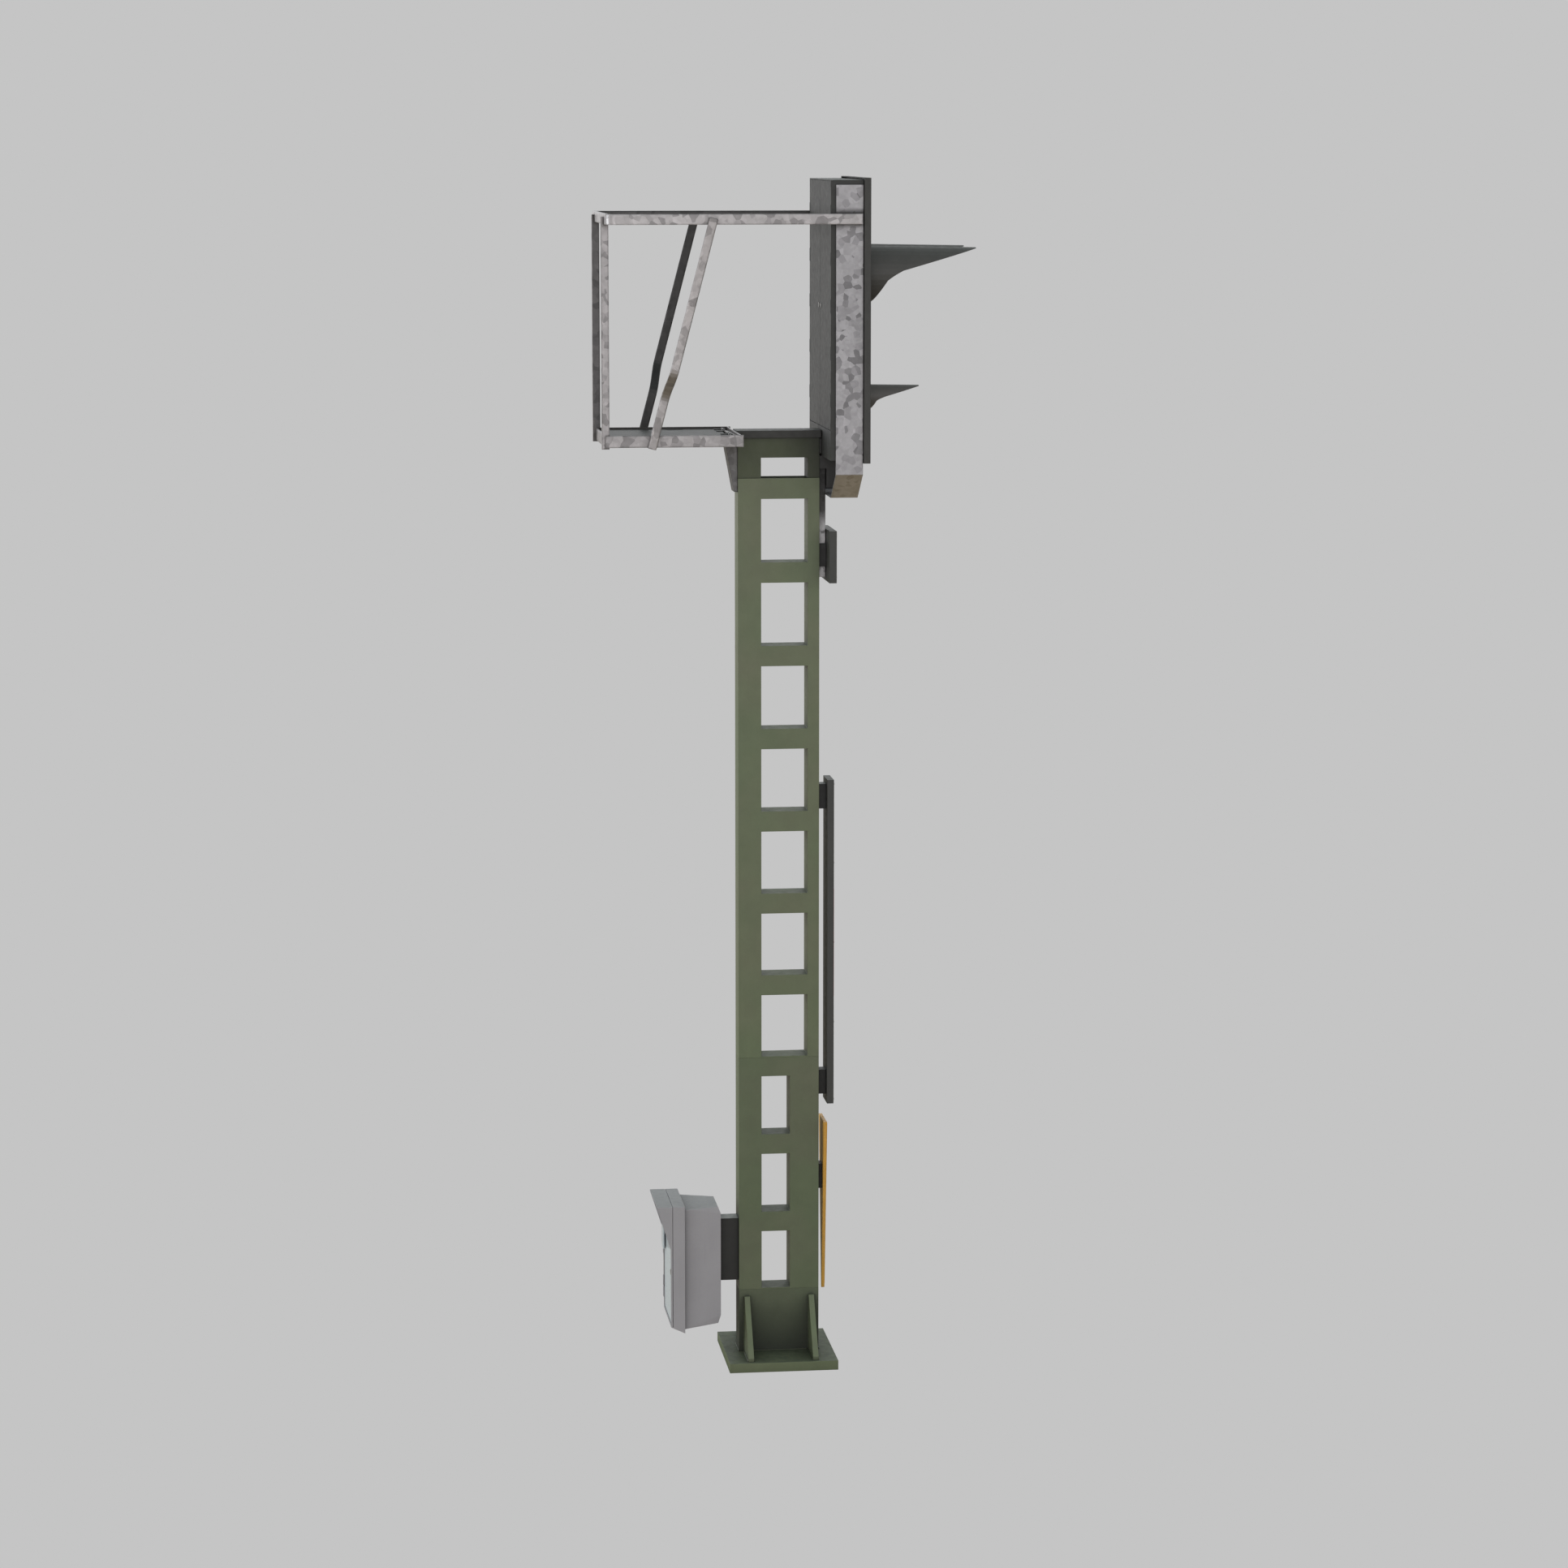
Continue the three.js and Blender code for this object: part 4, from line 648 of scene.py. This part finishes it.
def dress_nodes(materials):
    for look, names in NODE_LOOKS.items():
        for name in names:
            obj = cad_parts[name]
            obj.data.materials.clear()
            obj.data.materials.append(materials[look])
    missing = set(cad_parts) - {n for names in NODE_LOOKS.values() for n in names}
    if missing:
        raise RuntimeError(f"nodes without a look: {sorted(missing)}")


# ------------------------------------------------------------------ mesh helpers


def piece(name, mesh_data, material, body="signal_mast", smooth=False):
    """A new object from bmesh data, with a material, riding on a CAD body; body None leaves it
    free."""
    mesh = bpy.data.meshes.new(name)
    bmesh.ops.recalc_face_normals(mesh_data, faces=mesh_data.faces)
    mesh_data.to_mesh(mesh)
    mesh_data.free()
    for face in mesh.polygons:
        face.use_smooth = smooth
    mesh.materials.append(material)
    obj = bpy.data.objects.new(name, mesh)
    scene.collection.objects.link(obj)
    if body:
        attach(obj, body)
    return obj


def ring_of(bm, centre, u, v, radius, sides):
    turns = [2 * math.pi * i / sides for i in range(sides)]
    return [bm.verts.new(centre + radius * (math.cos(a) * u + math.sin(a) * v)) for a in turns]


def bridge(bm, a, b):
    for i in range(len(a)):
        j = (i + 1) % len(a)
        bm.faces.new((a[i], a[j], b[j], b[i]))


def across(axis):
    other = Vector((0, 0, 1)) if abs(axis.z) < 0.9 else Vector((1, 0, 0))
    u = axis.cross(other).normalized()
    return u, axis.cross(u).normalized()


def turned(bm, origin, axis, profile, sides, closed=False):
    """A body of revolution from (radius, height) pairs; closed joins the last ring to the first."""
    axis = Vector(axis).normalized()
    origin = Vector(origin)
    u, v = across(axis)
    rings = [ring_of(bm, origin + axis * h, u, v, r, sides) for r, h in profile]
    for a, b in zip(rings, rings[1:]):
        bridge(bm, a, b)
    if closed:
        bridge(bm, rings[-1], rings[0])
    else:
        bm.faces.new(rings[0])
        bm.faces.new(rings[-1])


def pan_head(bm, origin, axis, radius):
    """A low domed screw head with a hexagonal key recess."""
    origin = Vector(origin)
    axis = Vector(axis).normalized()
    u, v = across(axis)
    key = random.uniform(0, math.pi / 3)
    outline = ((1.0, 0.0), (1.0, 0.10), (0.86, 0.24), (0.55, 0.30))
    rings = [ring_of(bm, origin + axis * (h * radius), u, v, r * radius, 24) for r, h in outline]
    turns = [2 * math.pi * i / 24 for i in range(24)]
    flat = 0.42 * radius * math.cos(math.pi / 6)
    hexagon = [flat / math.cos((a - key) % (math.pi / 3) - math.pi / 6) for a in turns]
    for h in (0.30 * radius, 0.12 * radius):
        rings.append([bm.verts.new(origin + axis * h + reach * (math.cos(a) * u + math.sin(a) * v))
                      for a, reach in zip(turns, hexagon)])
    for a, b in zip(rings, rings[1:]):
        bridge(bm, a, b)
    bm.faces.new(rings[0])
    bm.faces.new(rings[-1])


def curve_through(points, steps):
    """Catmull-Rom points along the given ones, ends included."""
    pts = [Vector(p) for p in points]
    path = []
    for i in range(len(pts) - 1):
        a, b, c, d = pts[max(i - 1, 0)], pts[i], pts[i + 1], pts[min(i + 2, len(pts) - 1)]
        for k in range(steps):
            t = k / steps
            path.append(0.5 * ((2 * b) + (c - a) * t + (2 * a - 5 * b + 4 * c - d) * t * t
                               + (3 * b - a - 3 * c + d) * t ** 3))
    return path + [pts[-1]]


def sweep(bm, path, radius, sides):
    """A round section carried along a dense path, with its frame turned as little as possible."""
    u = across((path[1] - path[0]).normalized())[0]
    rings = []
    for i, p in enumerate(path):
        ahead = (path[min(i + 1, len(path) - 1)] - path[max(i - 1, 0)]).normalized()
        u = (u - ahead * u.dot(ahead)).normalized()
        rings.append(ring_of(bm, p, u, ahead.cross(u), radius, sides))
    for a, b in zip(rings, rings[1:]):
        bridge(bm, a, b)
    bm.faces.new(rings[0])
    bm.faces.new(rings[-1])


def tube(bm, points, radius):
    """A round cable through the given points."""
    sweep(bm, curve_through(points, 8), radius, 10)


def coiled_cord(bm, points, coil, radius, turns):
    """A telephone cord: a thin cable wound in a helix about a curve, straight at both ends."""
    spine = curve_through(points, 12 * 12)
    u, v = across((spine[1] - spine[0]).normalized())
    path = []
    last = len(spine) - 1
    for i, p in enumerate(spine):
        ahead = (spine[min(i + 1, last)] - spine[max(i - 1, 0)]).normalized()
        u = (u - ahead * u.dot(ahead)).normalized()
        v = ahead.cross(u)
        along = i / last
        swell = coil * min(1.0, along * 12, (1 - along) * 12)
        angle = 2 * math.pi * turns * along
        path.append(p + swell * (math.cos(angle) * u + math.sin(angle) * v))
    sweep(bm, path, radius, 6)


def slab(bm, low, high, edge=0.0):
    """A block with bevelled edges."""
    made = bmesh.ops.create_cube(bm, size=1.0)["verts"]
    low, high = Vector(low), Vector(high)
    for vert in made:
        vert.co = Vector((low[i] + (vert.co[i] + 0.5) * (high[i] - low[i]) for i in range(3)))
    if edge:
        lines = list({e for vert in made for e in vert.link_edges})
        bmesh.ops.bevel(bm, geom=lines, offset=edge, segments=2, affect="EDGES", profile=0.5)


def sheet_xz(bm, corners, y0, y1):
    """A flat plate from (x, z) corners, between y0 and y1."""
    front = [bm.verts.new((x, y0, z)) for x, z in corners]
    back = [bm.verts.new((x, y1, z)) for x, z in corners]
    bm.faces.new(front)
    bm.faces.new(back)
    bridge(bm, front, back)


def bead(bm, start, end, radius, toward):
    """A weld bead: an uneven ridge with rippled scales along an inside corner."""
    start, end = Vector(start), Vector(end)
    along = end - start
    count = max(4, int(along.length / 0.006))
    u = Vector(toward[0]).normalized()
    v = Vector(toward[1]).normalized()
    rings = []
    for i in range(count + 1):
        p = start + along * (i / count)
        r = radius * (1.0 + 0.12 * math.sin(i * 2.1) + random.uniform(-0.06, 0.06))
        section = (u * r, (u + v) * r * 0.62, v * r, (u + v) * -0.0002)
        rings.append([bm.verts.new(p + q) for q in section])
    for a, b in zip(rings, rings[1:]):
        bridge(bm, a, b)
    bm.faces.new(rings[0])
    bm.faces.new(rings[-1])


# ------------------------------------------------------------------ the small parts


def add_lamp_details(materials):
    for name, (x, z, radius) in LAMPS.items():
        add_lens_ring(materials, name, x, z, radius)
        add_hood_flange(materials, name, x, z, radius)
        add_hood_screws(materials, name, x, z, radius)


def add_lens_ring(materials, name, x, z, radius):
    """The rubber seal in the panel's opening, around the lens."""
    inner = radius - LENS_EDGE
    outer = radius - HOOD_WALL
    bm = bmesh.new()
    turned(bm, (x, PANEL_Y + 0.0005, z), FORWARD, [
        (inner, 0.0), (inner, 0.003), (inner + 0.0015, 0.0042),
        (outer - 0.0007, 0.0042), (outer, 0.0036), (outer, 0.0),
    ], 64, closed=True)
    piece(f"lens_ring_{name}", bm, materials["rubber"])


def add_hood_flange(materials, name, x, z, radius):
    """The flat ring that holds the hood on the panel."""
    inner = radius + 0.0006
    outer = radius + FLANGE_W
    bm = bmesh.new()
    turned(bm, (x, PANEL_Y - TOUCH, z), FORWARD, [
        (inner, 0.0), (inner, FLANGE), (outer - 0.0006, FLANGE), (outer, FLANGE - 0.0005),
        (outer, 0.0),
    ], 64, closed=True)
    piece(f"hood_flange_{name}", bm, materials["charcoal"])


def add_hood_screws(materials, name, x, z, radius):
    count = LARGE_LAMP_SCREWS if radius > LARGE_LAMP else SMALL_LAMP_SCREWS
    circle = radius + 0.0064
    bm = bmesh.new()
    for i in range(count):
        a = math.pi / count + 2 * math.pi * i / count
        at = (x + circle * math.cos(a), PANEL_Y - FLANGE - 0.0004, z + circle * math.sin(a))
        pan_head(bm, at, FORWARD, HOOD_SCREW_R)
    piece(f"hood_screws_{name}", bm, materials["screw"])


def add_panel_screws(materials):
    """Seven screws down each side of the panel and three across its top and bottom."""
    low, high = PANEL_SCREW_Z
    bm = bmesh.new()
    for x in (-PANEL_SCREW_X, PANEL_SCREW_X):
        for i in range(7):
            pan_head(bm, (x, PANEL_Y - TOUCH, low + i * (high - low) / 6), FORWARD, PANEL_SCREW_R)
    for z in PANEL_SCREW_ROWS:
        for i in range(1, 4):
            x = -PANEL_SCREW_X + i * PANEL_SCREW_X / 2
            pan_head(bm, (x, PANEL_Y - TOUCH, z), FORWARD, PANEL_SCREW_R)
    piece("panel_screws", bm, materials["screw"])


def wire_path(start, dx, x_end):
    """From a large lamp unit's back, down behind the panel to the terminal strip."""
    return [
        start + Vector((dx, 0, 0)),
        start + Vector((dx * 1.5, 0.022, -0.03)),
        (start.x + dx * 2, -0.232, 5.00),
        (start.x * 0.9 + dx, -0.230, 4.80),
        (x_end + dx, -0.236, 4.68),
        (x_end + dx, WIRE_END_Y, TERMINAL_TOP),
    ]


def short_wire_path(start, dx, x_end):
    """From the small lamp unit's back, over the top of the terminal strip."""
    return [
        start + Vector((dx, 0, 0)),
        start + Vector((dx, 0.018, 0.02)),
        (x_end + dx, -0.250, 4.665),
        (x_end + dx, WIRE_END_Y, 4.630),
        (x_end + dx, WIRE_END_Y, TERMINAL_TOP),
    ]


def add_head_wiring(materials):
    """Two wires from each lamp unit, and the screws of the terminal strip."""
    runs = {
        "left": (LAMP_BACK_Y, -WIRE_END_X, ("wire_green", "wire_grey"), wire_path),
        "right": (LAMP_BACK_Y, WIRE_END_X, ("wire_red", "wire_grey"), wire_path),
        "small": (SMALL_LAMP_BACK_Y, 0.0, ("wire_grey", "wire_red"), short_wire_path),
    }
    for name, (back_y, x_end, looks, path) in runs.items():
        x, z = LAMPS[name][:2]
        for k, look in enumerate(looks):
            dx = WIRE_APART * (k * 2 - 1)
            bm = bmesh.new()
            tube(bm, path(Vector((x, back_y, z)), dx, x_end), WIRE_R)
            piece(f"wire_{name}_{k}", bm, materials[look], smooth=True)
    bm = bmesh.new()
    for i in range(TERMINALS):
        for z in TERMINAL_ROWS:
            turned(bm, (TERMINAL_LEFT + TERMINAL_PITCH * i, TERMINAL_Y, z), BACKWARD,
                   [(0.0045, 0.0), (0.0045, 0.0010), (0.0038, 0.0016)], 12)
    piece("terminal_screws", bm, materials["screw"])


def add_sign_faces(materials):
    add_number_plate(materials)
    add_mast_sign(materials)
    add_sign_rivets(materials)
    bm = bmesh.new()
    sheet_xz(bm, TRIANGLE, *TRIANGLE_Y)
    piece("triangle_face", bm, materials["sheet_yellow"])


def add_number_plate(materials):
    """A blank white field with a black border."""
    (left, bottom), (right, top) = NUMBER_PLATE
    bm = bmesh.new()
    slab(bm, (left, SIGN_Y - SHEETING, bottom), (right, SIGN_Y, top), 0.0005)
    piece("number_plate_field", bm, materials["sheet_white"])
    (left, bottom), (right, top) = BORDER
    strips = (
        (left, bottom, right, bottom + BORDER_W), (left, top - BORDER_W, right, top),
        (left, bottom, left + BORDER_W, top), (right - BORDER_W, bottom, right, top),
    )
    bm = bmesh.new()
    for x0, z0, x1, z1 in strips:
        slab(bm, (x0, SIGN_Y - 0.0019, z0), (x1, SIGN_Y - 0.0013, z1))
    piece("number_plate_border", bm, materials["enamel"])


def add_mast_sign(materials):
    """Three bands of sheeting down the long sign."""
    for i, look in enumerate(BAND_LOOKS):
        low, high = BAND_EDGES[i] + 0.0005, BAND_EDGES[i + 1] - 0.0005
        bm = bmesh.new()
        slab(bm, (-BAND_X, SIGN_Y - SHEETING, low), (BAND_X, SIGN_Y, high), 0.0004)
        piece(f"mast_sign_band_{i}", bm, materials[look])


def add_sign_rivets(materials):
    bm = bmesh.new()
    for half, heights, stand_off, profile in (MAST_SIGN_RIVETS, NUMBER_RIVETS):
        for x in (-half, half):
            for z in heights:
                turned(bm, (x, SIGN_Y + stand_off, z), FORWARD, profile, 16)
    piece("sign_rivets", bm, materials["screw"])


def add_welds(materials):
    """Beads along the gussets and around the foot, where they stand on the base plate."""
    bm = bmesh.new()
    for sx in (-1, 1):
        for y in (-GUSSET_Y, GUSSET_Y):
            for sy in (-1, 1):
                side = y + sy * GUSSET_HALF
                foot = (sx * MAST_X, side, BASE_TOP)
                top = (sx * MAST_X, side, GUSSET_TOP)
                bead(bm, foot, top, GUSSET_BEAD, ((sx, 0, 0), (0, sy, 0)))
                near = (sx * GUSSET_FOOT, side, BASE_TOP)
                far = (sx * GUSSET_REACH, side, BASE_TOP)
                bead(bm, near, far, GUSSET_BEAD, ((0, 0, 1), (0, sy, 0)))
        ends = [(sx * FOOT_X, y, BASE_TOP) for y in (-FOOT_SIDE_BEAD, FOOT_SIDE_BEAD)]
        bead(bm, *ends, FOOT_BEAD, ((sx, 0, 0), (0, 0, 1)))
    for sy in (-1, 1):
        ends = [(x, sy * FOOT_Y, BASE_TOP) for x in (-FOOT_FACE_BEAD, FOOT_FACE_BEAD)]
        bead(bm, *ends, FOOT_BEAD, ((0, sy, 0), (0, 0, 1)))
    piece("weld_beads", bm, materials["weld"], smooth=True)


def add_telephone_details(materials):
    add_telephone_keys(materials)
    bm = bmesh.new()
    for z in HANDSET_CAPS_Z:
        turned(bm, (PLUG.x, HANDSET_FACE, z), BACKWARD,
               [(0.0165, 0.0), (0.0165, 0.0016), (0.0140, 0.0030)], 32)
    piece("handset_caps", bm, materials["phone"], body="handset_body")
    bm = bmesh.new()
    slab(bm, *HINGE_COVER, 0.0035)
    piece("hinge_cover", bm, materials["cover"], body="box_door_body")
    add_handset_cord(materials)


def add_telephone_keys(materials):
    bm = bmesh.new()
    for row in range(KEY_ROWS):
        for column in range(KEY_COLUMNS):
            x = KEY_CORNER[0] + column * KEY_PITCH[0]
            z = KEY_CORNER[1] + row * KEY_PITCH[1]
            corner = (x, PHONE_FACE, z)
            slab(bm, corner, [at + size for at, size in zip(corner, KEY_SIZE)], 0.0012)
    piece("telephone_keys", bm, materials["key"])


def add_handset_cord(materials):
    """The coiled cord hangs from the handset to its socket."""
    bm = bmesh.new()
    coiled_cord(bm, [
        PLUG, PLUG + Vector((0.000, 0.004, -0.022)), Vector((-0.048, 0.3780, CORD_BEND_Z)),
        Vector((-0.006, 0.3790, 0.318)), Vector((0.034, 0.3760, CORD_BEND_Z)), SOCKET,
    ], 0.0042, 0.0016, 64)
    cord = piece("handset_cord", bm, materials["rubber"], body=None, smooth=True)
    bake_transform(cord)
    bm = bmesh.new()
    turned(bm, (SOCKET.x, 0.3508, SOCKET.z), BACKWARD,
           [(0.0085, 0.0), (0.0085, 0.0120), (0.0065, 0.0190)], 20)
    piece("cord_socket", bm, materials["rubber"])


def add_lock_marks(materials):
    """A dark index line on each lock's face, in line with its cam, so that its turn can be seen."""
    for name, (body, x, y, z) in LOCKS.items():
        bm = bmesh.new()
        slab(bm, (x - 0.0010, y + 0.0001, z + 0.0048), (x + 0.0010, y + 0.0005, z + 0.0118))
        piece(f"lock_mark_{name}", bm, materials["enamel"], body=body)


# ------------------------------------------------------------------ stage, light and camera


def build_world():
    """An even backdrop for the camera; for the light, a bright horizon and a softer sky."""
    g = Graph("studio", bpy.data.worlds)
    sky = g.ramp(g.range(g.axis(g.generated, "Z"), -1.0, 1.0), SKY)
    light = g.node("ShaderNodeBackground", {"Color": sky}).outputs[0]
    seen = g.node("ShaderNodeBackground", {"Color": rgba(BACKGROUND)}).outputs[0]
    g.node("ShaderNodeOutputWorld", {"Surface": g.for_camera(seen, light)})
    scene.world = g.owner


def build_floor():
    """A pale studio floor that meets the backdrop without a line and throws warm light upwards."""
    corners = ((-1, -1), (1, -1), (1, 1), (-1, 1))
    bm = bmesh.new()
    bm.faces.new([bm.verts.new((x * FLOOR_HALF, y * FLOOR_HALF, FLOOR_Z)) for x, y in corners])
    mesh = bpy.data.meshes.new("studio_floor")
    bm.to_mesh(mesh)
    bm.free()
    g = Graph("studio_floor")
    pale = g.mix(g.range(g.noise(0.6, 3.0), 0.3, 0.7), (0.36, 0.31, 0.24), (0.38, 0.33, 0.26))
    matt = g.node("ShaderNodeBsdfDiffuse", {"Color": pale}).outputs[0]
    seen = g.node("ShaderNodeEmission", {"Color": rgba(BACKGROUND), "Strength": 1.0}).outputs[0]
    g.node("ShaderNodeOutputMaterial", {"Surface": g.for_camera(seen, matt)})
    mesh.materials.append(g.owner)
    floor = bpy.data.objects.new("studio_floor", mesh)
    scene.collection.objects.link(floor)


def build_lights():
    """Three large soft boxes: the camera's side, the basket side and the lamps' side."""
    for name, place, size, power, color in SOFT_BOXES:
        data = bpy.data.lights.new(name, "AREA")
        data.size = size
        data.energy = power
        data.color = color
        lamp = bpy.data.objects.new(name, data)
        lamp.location = place
        lamp.rotation_mode = "QUATERNION"
        lamp.rotation_quaternion = (LIGHTS_AIM - Vector(place)).to_track_quat("-Z", "Y")
        scene.collection.objects.link(lamp)


def build_camera():
    """The camera stands at the signal's -X side, a little behind it, and looks slightly down."""
    data = bpy.data.cameras.new("camera")
    data.lens = CAMERA_LENS
    data.sensor_width = CAMERA_SENSOR
    data.clip_end = 200.0
    camera = bpy.data.objects.new("camera", data)
    scene.collection.objects.link(camera)
    azimuth, elevation = (math.radians(turn) for turn in CAMERA_TURN)
    level = math.cos(elevation)
    back = Vector((math.sin(azimuth) * level, -math.cos(azimuth) * level, math.sin(elevation)))
    camera.location = CAMERA_PLACE
    camera.rotation_mode = "QUATERNION"
    camera.rotation_quaternion = (-back).to_track_quat("-Z", "Y")
    scene.camera = camera


materials = {**make_paints(), **make_zinc(), **make_small_looks()}
dress_nodes(materials)
add_lamp_details(materials)
add_panel_screws(materials)
add_head_wiring(materials)
add_sign_faces(materials)
add_welds(materials)
add_telephone_details(materials)
add_lock_marks(materials)
build_world()
build_floor()
build_lights()
build_camera()
